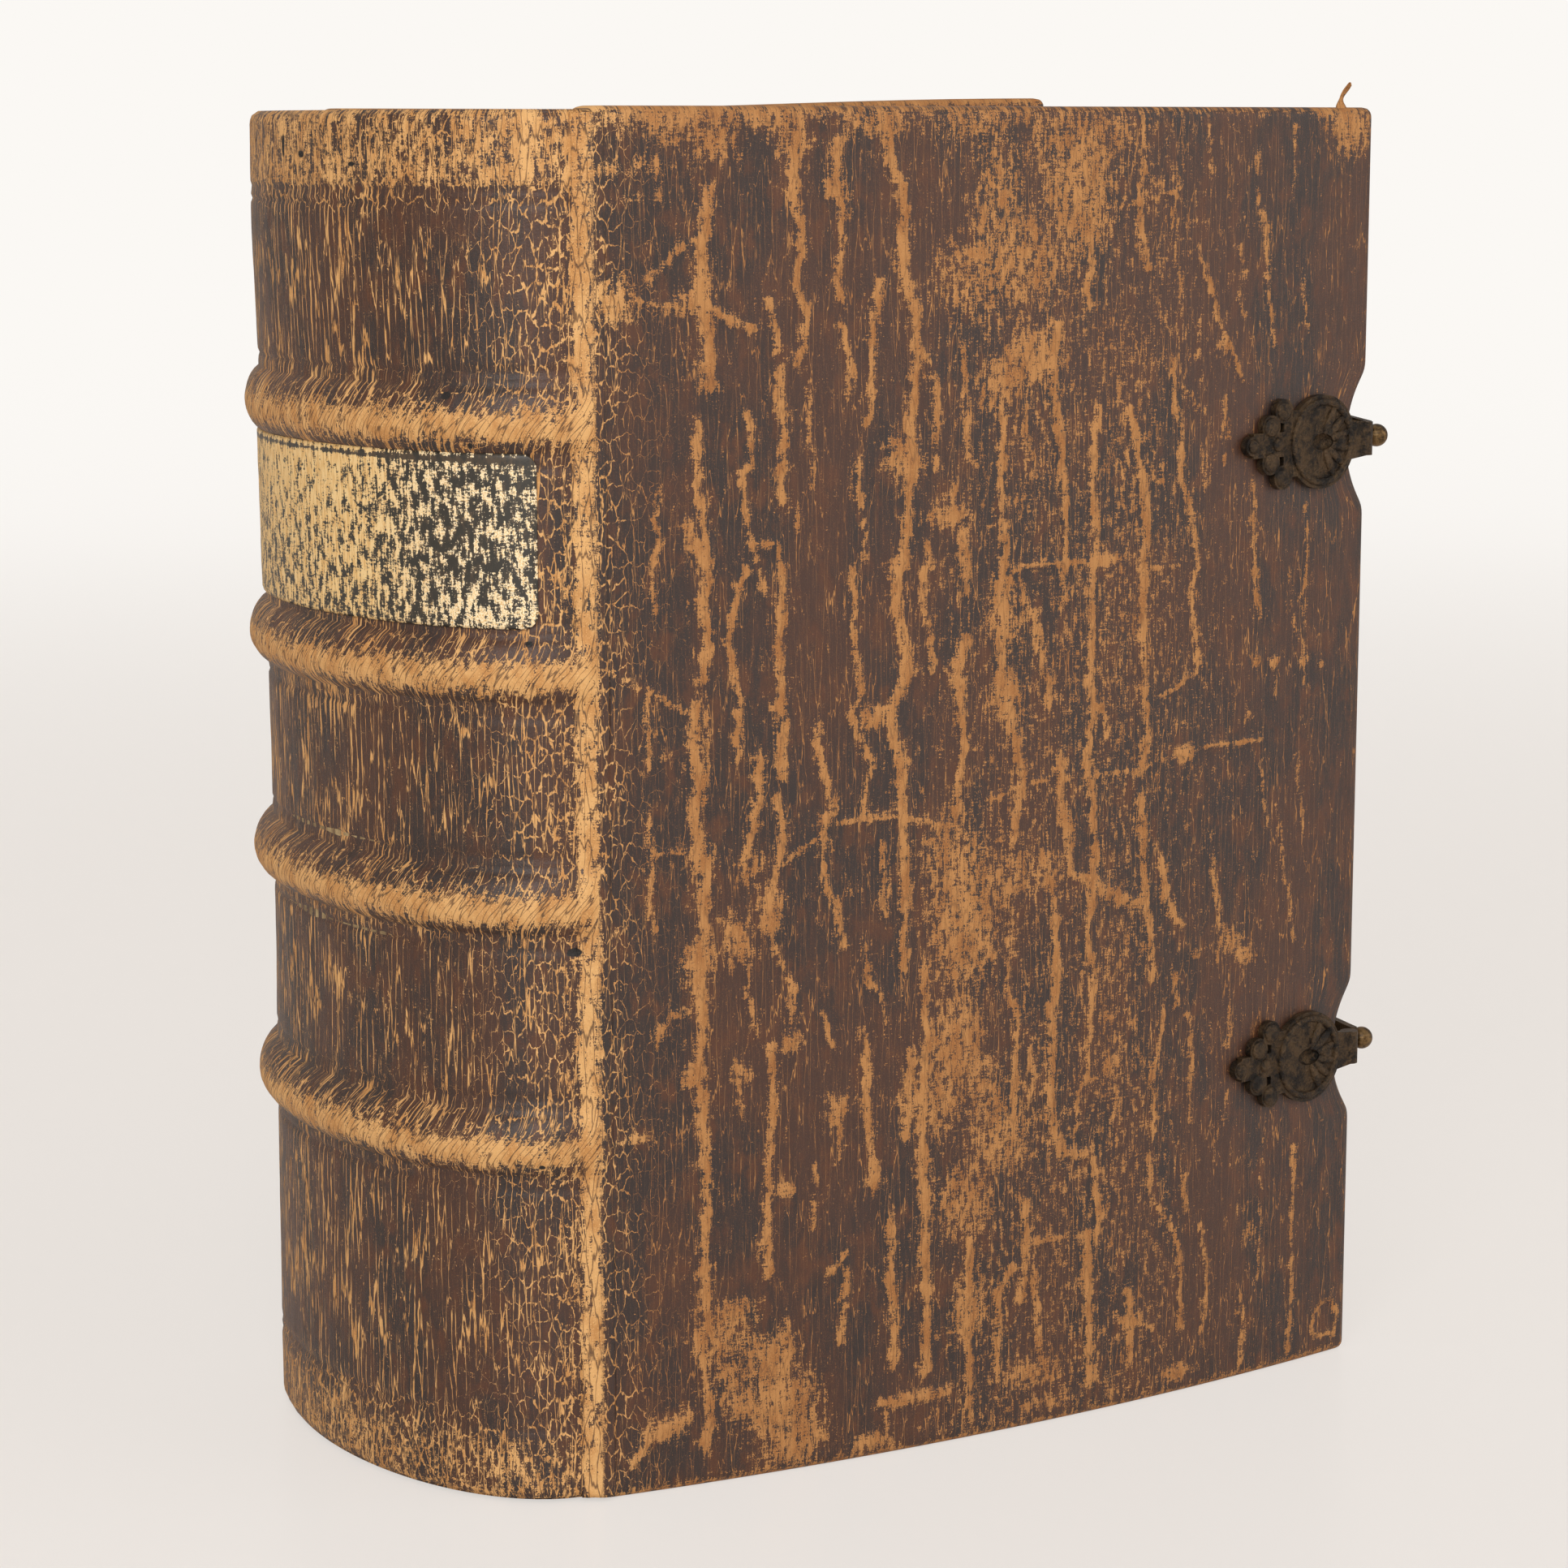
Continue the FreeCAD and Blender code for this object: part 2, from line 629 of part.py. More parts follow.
# Check every object, then write one file for each part
doc.recompute()
faults = [item.Name for item in doc.Objects if "Invalid" in item.State or "Error" in item.State]
for name, piece in subparts.items():
    shape = piece.Shape
    if shape.isNull() or not shape.isValid() or not shape.Solids:
        faults.append(name)
if faults:
    raise RuntimeError("These objects failed: " + ", ".join(faults))
os.makedirs("parts", exist_ok=True)
for name, piece in subparts.items():
    piece.Shape.exportStep(f"parts/{name}.step")
    print(f"{name}: {len(piece.Shape.Solids)} solid, {piece.Shape.Volume:.1f} cubic mm")
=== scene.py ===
"""Antique leather book: the worn hide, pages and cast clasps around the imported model."""

import math

import bpy
import numpy as np
from mathutils import Matrix, Vector


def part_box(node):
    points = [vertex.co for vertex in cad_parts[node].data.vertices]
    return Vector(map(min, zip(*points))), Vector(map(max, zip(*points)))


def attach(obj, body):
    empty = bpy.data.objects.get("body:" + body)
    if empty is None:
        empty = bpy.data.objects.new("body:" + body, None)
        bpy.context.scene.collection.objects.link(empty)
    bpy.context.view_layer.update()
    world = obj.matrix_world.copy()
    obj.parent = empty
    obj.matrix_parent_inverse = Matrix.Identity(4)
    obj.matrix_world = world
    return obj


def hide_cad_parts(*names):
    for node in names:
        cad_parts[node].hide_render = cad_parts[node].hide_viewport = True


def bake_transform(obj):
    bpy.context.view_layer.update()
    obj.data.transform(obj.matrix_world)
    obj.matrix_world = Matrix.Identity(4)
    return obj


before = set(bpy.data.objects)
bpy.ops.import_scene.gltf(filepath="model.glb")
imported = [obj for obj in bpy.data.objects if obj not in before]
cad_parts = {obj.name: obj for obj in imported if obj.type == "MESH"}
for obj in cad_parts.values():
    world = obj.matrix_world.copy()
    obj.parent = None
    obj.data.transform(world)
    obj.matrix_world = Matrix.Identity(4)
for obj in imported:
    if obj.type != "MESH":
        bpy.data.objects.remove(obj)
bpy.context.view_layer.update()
MM = 0.001

# Sizes of the book in millimetres, as in the part
HEIGHT = 200.0
WIDTH = 138.0
HALF_JOINT = 43.0
HALF_MIDDLE = 50.0
HALF_FORE = 46.5
COVER_DEPTH = 6.8
BACK_RISE = 2.0
SPINE_HALF = 42.0
SPINE_BULGE = 23.7
CAP_DROP = 0.5
HIDE = 1.2
BANDS = (157.1, 122.1, 88.8, 53.7)
BAND_REACH = 26.2
CLASP_LEVELS = (148.9, 51.0)
NOTCH_HEIGHT = 21.0
NOTCH_DEPTH = 4.0
JOINT_GAP = 0.15
JOINT_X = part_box("front_leather")[0][0] / MM - JOINT_GAP


def bow_circle():
    """Centre and radius of the bow that both covers follow. The centre's y is for the front cover."""
    half = WIDTH / 2
    centre_y = (2 * half ** 2 + HALF_JOINT ** 2 + HALF_FORE ** 2 - 2 * HALF_MIDDLE ** 2) \
        / (4 * HALF_MIDDLE - 2 * HALF_JOINT - 2 * HALF_FORE)
    centre_x = half + (HALF_FORE - HALF_JOINT) * (HALF_FORE + HALF_JOINT + 2 * centre_y) / (2 * WIDTH)
    radius = math.hypot(centre_x - half, HALF_MIDDLE + centre_y)
    return JOINT_X + centre_x, centre_y, radius


BOW_X, BOW_Y, BOW_RADIUS = bow_circle()


def cover_face(x, depth):
    """Distance of a cover's face from the middle plane, at x and at a depth under the outer face."""
    return np.sqrt((BOW_RADIUS - depth) ** 2 - (x - BOW_X) ** 2) - BOW_Y


# The photograph's camera, fitted to the outline of the book
FRAME_PIXELS = 1932
FOCAL_PIXELS = 4744.7
CAMERA_SPOT = (JOINT_X - 264.49, -508.18, 196.75)
CAMERA_YAW = 0.56643
CAMERA_PITCH = 0.16842
CAMERA_ROLL = 0.001


def camera_axes():
    """Right, up and forward of the camera as unit vectors."""
    forward = Vector((math.sin(CAMERA_YAW) * math.cos(CAMERA_PITCH),
                      math.cos(CAMERA_YAW) * math.cos(CAMERA_PITCH), -math.sin(CAMERA_PITCH)))
    right = Vector((math.cos(CAMERA_YAW), -math.sin(CAMERA_YAW), 0))
    up = right.cross(forward)
    roll = Matrix.Rotation(CAMERA_ROLL, 3, forward)
    return roll @ right, roll @ up, forward


def make_camera():
    """The camera at the photograph's viewing angle."""
    right, up, forward = camera_axes()
    data = bpy.data.cameras.new("photo_camera")
    data.sensor_width = 36
    data.lens = FOCAL_PIXELS / FRAME_PIXELS * data.sensor_width
    data.clip_start = 0.01
    camera = bpy.data.objects.new("photo_camera", data)
    turn = Matrix((right, up, -forward)).transposed().to_4x4()
    camera.matrix_world = Matrix.Translation(Vector(CAMERA_SPOT) * MM) @ turn
    bpy.context.scene.collection.objects.link(camera)
    bpy.context.scene.camera = camera


def pixel_ray(pixel_x, pixel_y):
    """The direction from the camera through a pixel of the photograph."""
    right, up, forward = camera_axes()
    middle = FRAME_PIXELS / 2
    return forward + right * ((pixel_x - middle) / FOCAL_PIXELS) - up * ((pixel_y - middle) / FOCAL_PIXELS)


def near_hit(a, b, c):
    """The nearer root of a ray's meeting with a round or oval wall."""
    return (-b - math.sqrt(max(b * b - a * c, 0))) / a


def on_front(pixel_x, pixel_y):
    """The point of the front cover under a pixel: x from the joint and z, in mm."""
    ray = pixel_ray(pixel_x, pixel_y)
    start_x = CAMERA_SPOT[0] - BOW_X
    start_y = CAMERA_SPOT[1] - BOW_Y
    reach = near_hit(ray.x ** 2 + ray.y ** 2, start_x * ray.x + start_y * ray.y,
                     start_x ** 2 + start_y ** 2 - BOW_RADIUS ** 2)
    return CAMERA_SPOT[0] + reach * ray.x - JOINT_X, CAMERA_SPOT[2] + reach * ray.z


def on_spine(pixel_x, pixel_y):
    """The point of the spine under a pixel: distance round it from the front joint, below 0, and z."""
    ray = pixel_ray(pixel_x, pixel_y)
    ray_x = ray.x / SPINE_BULGE
    ray_y = ray.y / SPINE_HALF
    start_x = (CAMERA_SPOT[0] - JOINT_X) / SPINE_BULGE
    start_y = CAMERA_SPOT[1] / SPINE_HALF
    reach = near_hit(ray_x ** 2 + ray_y ** 2, start_x * ray_x + start_y * ray_y,
                     start_x ** 2 + start_y ** 2 - 1)
    angle = math.atan2(-(start_x + reach * ray_x), -(start_y + reach * ray_y))
    return -float(np.interp(angle, SPINE_ANGLE, SPINE_LENGTH)), CAMERA_SPOT[2] + reach * ray.z


# Smooth noise for forms and wear
def noise(x, y, seed):
    """Smooth noise from 0 to 1 with one cell per unit."""
    table = np.random.RandomState(seed).rand(256, 256)
    column = np.floor(x).astype(int)
    line = np.floor(y).astype(int)
    fx = x - column
    fy = y - line
    fx = fx * fx * (3 - 2 * fx)
    fy = fy * fy * (3 - 2 * fy)
    low = table[column % 256, line % 256] * (1 - fx) + table[(column + 1) % 256, line % 256] * fx
    high = table[column % 256, (line + 1) % 256] * (1 - fx) + table[(column + 1) % 256, (line + 1) % 256] * fx
    return low * (1 - fy) + high * fy


def layered(x, y, seed, layers=4):
    """Noise summed over octaves, from 0 to 1."""
    total = 0
    weight = 0
    for layer in range(layers):
        share = 0.5 ** layer
        total = total + share * noise(x * 2 ** layer, y * 2 ** layer, seed + layer)
        weight += share
    return total / weight


def step(value, low, high):
    """Smooth step from 0 at low to 1 at high."""
    share = np.clip((value - low) / (high - low), 0, 1)
    return share * share * (3 - 2 * share)


# The hide's own map: u runs along the hide, from the front joint to the front fore-edge on the
# plus side and round the spine to the back cover on the minus side. v is the height.
def spine_table():
    """Angles round the spine and their distance along it, from the front joint."""
    angle = np.linspace(0, math.pi, 721)
    x = -SPINE_BULGE * np.sin(angle)
    y = -SPINE_HALF * np.cos(angle)
    length = np.concatenate(([0], np.cumsum(np.hypot(np.diff(x), np.diff(y)))))
    return angle, length


SPINE_ANGLE, SPINE_LENGTH = spine_table()
SPINE_AROUND = float(SPINE_LENGTH[-1])


def band_rise(v):
    """How much the raised bands lift the hide at height v, from 0 to 1."""
    rise = 0 * v
    for level in BANDS:
        away = np.abs(v - level) / 4.6
        rise = np.maximum(rise, np.sqrt(np.clip(1 - away ** 2, 0, 1)) ** 1.3)
    return rise


# Worn streaks of the front cover: half width in mm, strength, then points in the photograph's pixels
STREAKS = (
    (1.9, 0.95, (872, 235), (868, 300), (866, 360), (872, 420), (874, 470)),
    (0.9, 0.85, (790, 370), (830, 378), (862, 372), (900, 395), (930, 405)),
    (0.9, 0.62, (800, 345), (830, 318), (855, 300)),
    (1.1, 0.92, (860, 525), (862, 560), (860, 600), (868, 640), (872, 700), (868, 740)),
    (1.5, 0.9, (848, 645), (858, 680), (868, 700)),
    (1.5, 0.92, (985, 140), (978, 190), (975, 240), (985, 275), (988, 310)),
    (1.2, 0.95, (988, 310), (982, 350), (995, 385), (990, 430), (982, 448)),
    (1.2, 0.9, (945, 370), (952, 400), (958, 430)),
    (1.2, 0.9, (965, 455), (962, 490), (965, 540), (962, 590), (966, 620)),
    (1.1, 0.9, (1035, 170), (1032, 210), (1030, 235), (1040, 260), (1040, 310), (1038, 350), (1040, 370)),
    (0.9, 0.88, (1040, 400), (1046, 430), (1050, 450), (1045, 490)),
    (1.1, 0.9, (1085, 345), (1082, 400), (1080, 440), (1075, 470), (1078, 490), (1072, 520)),
    (1.6, 0.95, (1095, 140), (1098, 190), (1112, 230), (1115, 270), (1112, 320), (1118, 350)),
    (1.4, 0.95, (1118, 350), (1132, 380), (1130, 420), (1128, 450), (1125, 490), (1118, 520), (1125, 550)),
    (1.5, 0.95, (1125, 550), (1122, 590), (1118, 640), (1115, 670), (1110, 700)),
    (1.1, 0.88, (1135, 430), (1150, 470), (1155, 530), (1152, 580)),
    (1.0, 0.88, (1060, 565), (1055, 600), (1062, 625)),
    (0.6, 0.8, (1065, 640), (1070, 690)),
    (0.6, 0.75, (1003, 470), (1000, 520), (1003, 600)),
    (0.8, 0.85, (925, 510), (925, 540), (920, 570), (912, 590), (922, 630), (925, 670), (930, 690)),
    (0.8, 0.8, (930, 670), (960, 675), (965, 700)),
    (0.6, 0.8, (987, 620), (987, 655)),
    (0.7, 0.72, (812, 600), (808, 640), (815, 670), (808, 700)),
    (1.1, 0.88, (1175, 590), (1170, 620), (1180, 640)),
    (0.9, 0.8, (1165, 610), (1195, 640)),
    (0.8, 0.85, (1140, 670), (1148, 700)),
    (1.4, 0.88, (1185, 655), (1190, 700), (1190, 730)),
    (0.8, 0.72, (808, 200), (812, 250)),
    (1.3, 0.78, (1185, 410), (1188, 450), (1190, 500), (1192, 560)),
    (1.2, 0.84, (1348, 200), (1348, 300), (1345, 380)),
    (1.3, 0.92, (1305, 400), (1300, 430), (1300, 480), (1305, 520), (1308, 560), (1312, 620), (1315, 700)),
    (1.1, 0.88, (1235, 500), (1240, 540), (1232, 600), (1235, 640), (1238, 700)),
    (0.8, 0.8, (1265, 500), (1268, 540), (1275, 570), (1270, 600)),
    (1.2, 0.92, (1355, 500), (1352, 560), (1350, 600), (1352, 650), (1348, 700)),
    (1.4, 0.92, (1392, 500), (1400, 540), (1408, 580), (1415, 640), (1412, 670), (1408, 700)),
    (1.0, 0.85, (1410, 150), (1412, 200), (1405, 250), (1405, 280), (1415, 330)),
    (1.0, 0.85, (1450, 440), (1448, 480), (1455, 530), (1458, 590), (1465, 630), (1475, 680), (1480, 700)),
    (0.55, 0.95, (1478, 320), (1492, 350), (1505, 400), (1520, 430), (1535, 470)),
    (0.7, 0.8, (1550, 190), (1553, 240), (1560, 280), (1562, 330), (1565, 380), (1570, 430)),
    (0.6, 0.75, (1595, 150), (1597, 190), (1592, 240)),
    (0.6, 0.66, (1530, 300), (1535, 340), (1530, 370), (1535, 390)),
    (0.6, 0.66, (1605, 330), (1608, 380), (1612, 410)),
    (0.9, 0.82, (1545, 590), (1545, 650), (1548, 700), (1550, 760)),
    (0.7, 0.68, (1608, 620), (1612, 680), (1608, 750), (1610, 850)),
    (0.6, 0.7, (1490, 150), (1492, 210)),
    (0.35, 0.95, (1380, 252), (1410, 245), (1455, 235)),
    (0.5, 0.8, (1440, 450), (1485, 510)),
    (0.6, 0.72, (1478, 400), (1480, 450), (1485, 480)),
    (0.7, 0.68, (1450, 200), (1450, 300), (1455, 350), (1455, 390)),
    (0.6, 0.7, (1510, 490), (1510, 540), (1512, 570)),
    (0.7, 0.72, (1485, 560), (1487, 600)),
    (0.6, 0.75, (1410, 560), (1425, 590), (1435, 595), (1435, 560)),
    (0.7, 0.78, (805, 690), (806, 720), (812, 760)),
    (1.2, 0.92, (868, 700), (860, 740), (868, 770), (872, 800), (866, 840)),
    (1.3, 0.92, (858, 870), (856, 900), (860, 950), (858, 1000), (862, 1040)),
    (0.6, 0.8, (872, 880), (874, 940), (870, 990)),
    (1.7, 0.93, (862, 1040), (868, 1070), (866, 1100), (865, 1150), (862, 1190), (864, 1230), (866, 1250)),
    (0.7, 0.8, (800, 850), (802, 900), (802, 950)),
    (0.8, 0.8, (800, 1000), (805, 1050), (803, 1100), (805, 1150)),
    (0.8, 0.85, (805, 1052), (830, 1048), (855, 1052)),
    (1.1, 0.9, (918, 700), (905, 740), (895, 790), (905, 830), (912, 860), (908, 900), (910, 935)),
    (0.8, 0.78, (935, 700), (942, 740)),
    (1.3, 0.93, (965, 700), (966, 740), (962, 790), (965, 840), (958, 870), (962, 900), (958, 930),
     (965, 955)),
    (1.2, 0.9, (935, 935), (938, 975), (928, 1020), (920, 1050), (918, 1090)),
    (1.2, 0.88, (960, 980), (962, 1010), (965, 1050), (955, 1100), (952, 1140), (955, 1160)),
    (0.9, 0.82, (955, 1160), (962, 1180), (975, 1210), (980, 1230), (975, 1260)),
    (0.8, 0.8, (965, 1070), (985, 1050), (1000, 1040)),
    (1.0, 0.8, (925, 1190), (920, 1230)),
    (0.9, 0.84, (1055, 700), (1050, 780), (1058, 830), (1062, 850), (1050, 880)),
    (0.9, 0.84, (1050, 880), (1060, 910), (1075, 940), (1068, 970), (1065, 1010)),
    (1.5, 0.94, (1105, 700), (1108, 750), (1118, 790), (1120, 830), (1105, 860), (1098, 880), (1105, 910)),
    (1.5, 0.94, (1105, 910), (1112, 950), (1112, 1000), (1115, 1040), (1118, 1080), (1115, 1130),
     (1115, 1190)),
    (0.9, 0.86, (1140, 700), (1138, 750), (1150, 780), (1148, 830)),
    (1.6, 0.88, (1190, 790), (1180, 830), (1185, 880), (1190, 920), (1180, 960), (1180, 1000)),
    (0.9, 0.85, (1030, 1015), (1060, 1010), (1100, 1008), (1140, 1015), (1160, 1018)),
    (1.1, 0.88, (1010, 900), (1012, 940), (1020, 970), (1030, 1000), (1015, 1010)),
    (1.1, 0.88, (1015, 1010), (1012, 1050), (1018, 1090), (1030, 1110), (1035, 1150), (1042, 1170)),
    (0.9, 0.78, (1085, 1040), (1092, 1080), (1090, 1130)),
    (0.9, 0.8, (1068, 1170), (1070, 1210), (1085, 1230), (1092, 1260)),
    (1.1, 0.84, (1140, 1190), (1140, 1230), (1138, 1260)),
    (0.7, 0.76, (900, 1120), (900, 1200)),
    (0.35, 0.9, (740, 825), (800, 855), (850, 880)),
    (1.5, 0.93, (1235, 700), (1238, 750), (1235, 800), (1235, 840), (1250, 880), (1252, 920)),
    (1.3, 0.93, (1252, 920), (1262, 960), (1255, 1000), (1250, 1040)),
    (1.2, 0.92, (1262, 740), (1280, 770), (1285, 800), (1292, 840), (1292, 870)),
    (1.0, 0.84, (1308, 700), (1315, 740)),
    (1.2, 0.94, (1350, 690), (1345, 730), (1348, 790), (1345, 840), (1348, 890), (1342, 930), (1348, 980)),
    (1.2, 0.92, (1348, 980), (1350, 1040), (1345, 1090)),
    (1.2, 0.92, (1410, 700), (1408, 760), (1410, 820), (1412, 870), (1412, 900), (1405, 950)),
    (0.9, 0.8, (1355, 870), (1365, 890), (1365, 910)),
    (0.9, 0.84, (1475, 690), (1472, 750), (1475, 790), (1475, 830), (1450, 850), (1430, 860)),
    (0.8, 0.84, (1250, 705), (1290, 695), (1370, 700)),
    (0.7, 0.8, (1420, 702), (1455, 695)),
    (0.5, 0.75, (1572, 830), (1573, 860)),
    (0.7, 0.68, (1590, 700), (1593, 740), (1598, 780)),
    (0.5, 0.95, (1480, 925), (1515, 920), (1555, 914)),
    (0.6, 0.72, (1555, 950), (1560, 1000), (1562, 1020)),
    (0.6, 0.68, (1600, 930), (1603, 980), (1608, 1030)),
    (0.6, 0.68, (1572, 990), (1578, 1040), (1585, 1080), (1590, 1120), (1595, 1160)),
    (1.1, 0.9, (1405, 980), (1412, 1030), (1412, 1080), (1415, 1130), (1418, 1180), (1420, 1210)),
    (1.8, 0.9, (1345, 1095), (1380, 1105), (1410, 1118)),
    (1.4, 0.86, (1430, 1060), (1440, 1110), (1450, 1130), (1460, 1140)),
    (1.3, 0.92, (1310, 930), (1312, 990), (1318, 1040), (1322, 1080), (1345, 1088)),
    (1.2, 0.92, (1285, 1050), (1295, 1090), (1300, 1140), (1305, 1200), (1298, 1240)),
    (1.1, 0.9, (1345, 1100), (1340, 1150), (1350, 1200), (1345, 1240)),
    (0.9, 0.84, (1245, 1100), (1245, 1160), (1245, 1240)),
    (0.9, 0.8, (1215, 1100), (1225, 1180)),
    (0.8, 0.8, (1495, 1060), (1500, 1100), (1505, 1140), (1500, 1190)),
    (0.8, 0.76, (1450, 1200), (1452, 1240)),
    (0.5, 0.85, (1215, 985), (1300, 960), (1400, 950), (1450, 935)),
    (1.4, 0.92, (868, 1240), (866, 1290), (864, 1330), (868, 1380), (870, 1440), (872, 1480), (868, 1510)),
    (1.4, 0.92, (868, 1510), (866, 1550), (870, 1600), (872, 1640)),
    (0.8, 0.84, (855, 1248), (832, 1254), (815, 1270), (808, 1290)),
    (1.1, 0.92, (948, 1290), (952, 1350), (950, 1400), (950, 1450), (950, 1500), (948, 1540), (952, 1570)),
    (0.8, 0.8, (930, 1230), (932, 1280)),
    (0.7, 0.8, (905, 1310), (912, 1340), (918, 1380)),
    (0.9, 0.82, (1015, 1250), (1025, 1290)),
    (0.8, 0.75, (1035, 1390), (1035, 1430)),
    (1.3, 0.92, (1062, 1270), (1068, 1320), (1070, 1370), (1075, 1420), (1078, 1460)),
    (1.3, 0.9, (1122, 1290), (1122, 1340), (1120, 1400)),
    (1.6, 0.94, (1140, 1260), (1140, 1400), (1140, 1500), (1138, 1560), (1142, 1640), (1140, 1690)),
    (1.4, 0.92, (1098, 1500), (1102, 1540), (1098, 1590), (1102, 1640), (1100, 1680)),
    (1.2, 0.9, (1195, 1530), (1195, 1620), (1195, 1700), (1198, 1750)),
    (0.7, 0.8, (1005, 1440), (1002, 1500), (1005, 1515)),
    (1.0, 0.9, (1045, 1540), (1035, 1555), (1020, 1570)),
    (1.0, 0.88, (1045, 1560), (1042, 1620), (1035, 1650)),
    (1.3, 0.9, (970, 1630), (972, 1660), (968, 1690)),
    (1.5, 0.85, (862, 1650), (868, 1700), (878, 1750), (870, 1790)),
    (1.5, 0.9, (785, 1800), (800, 1775), (830, 1755), (850, 1745)),
    (1.4, 0.86, (1085, 1728), (1120, 1722), (1170, 1712)),
    (0.7, 0.8, (1090, 1740), (1095, 1790)),
    (0.4, 0.85, (750, 1420), (775, 1408)),
    (1.1, 0.88, (1250, 1240), (1250, 1300), (1252, 1360), (1250, 1400)),
    (1.2, 0.92, (1293, 1240), (1298, 1300), (1295, 1360), (1300, 1400), (1312, 1420), (1345, 1420)),
    (1.2, 0.92, (1345, 1420), (1350, 1440), (1355, 1500), (1350, 1530)),
    (1.1, 0.9, (1345, 1240), (1340, 1300), (1338, 1330)),
    (0.8, 0.84, (1325, 1340), (1328, 1380), (1325, 1395)),
    (0.9, 0.84, (1270, 1290), (1275, 1340), (1270, 1360)),
    (0.7, 0.78, (1375, 1340), (1372, 1380)),
    (1.0, 0.86, (1435, 1250), (1432, 1290), (1422, 1320), (1425, 1370), (1420, 1420), (1418, 1470)),
    (0.8, 0.76, (1465, 1250), (1468, 1300), (1465, 1350), (1468, 1380)),
    (0.8, 0.74, (1515, 1240), (1512, 1290)),
    (0.6, 0.66, (1512, 1350), (1505, 1390), (1500, 1430)),
    (0.9, 0.84, (1425, 1480), (1440, 1500), (1450, 1530), (1455, 1580), (1455, 1640)),
    (0.7, 0.8, (1460, 1450), (1463, 1490)),
    (0.8, 0.8, (1480, 1510), (1485, 1550), (1490, 1580), (1482, 1640)),
    (1.0, 0.76, (1595, 1410), (1593, 1480), (1592, 1540), (1593, 1600), (1590, 1650), (1588, 1670)),
    (0.7, 0.6, (1555, 1400), (1555, 1500), (1550, 1580)),
    (0.8, 0.8, (1530, 1600), (1532, 1640), (1530, 1680)),
    (1.2, 0.9, (1262, 1480), (1265, 1530), (1262, 1580), (1260, 1600)),
    (1.1, 0.9, (1250, 1560), (1232, 1590), (1230, 1640), (1232, 1690)),
    (1.1, 0.88, (1275, 1560), (1278, 1620), (1280, 1660)),
    (1.5, 0.93, (1340, 1520), (1342, 1580), (1342, 1640), (1345, 1700)),
    (1.0, 0.84, (1270, 1530), (1310, 1525)),
    (0.9, 0.9, (1392, 1590), (1390, 1680)),
    (0.7, 0.86, (1380, 1630), (1425, 1640)),
    (0.7, 0.85, (1640, 1600), (1622, 1618), (1616, 1640), (1624, 1652), (1644, 1644), (1650, 1618),
     (1640, 1600)),
)

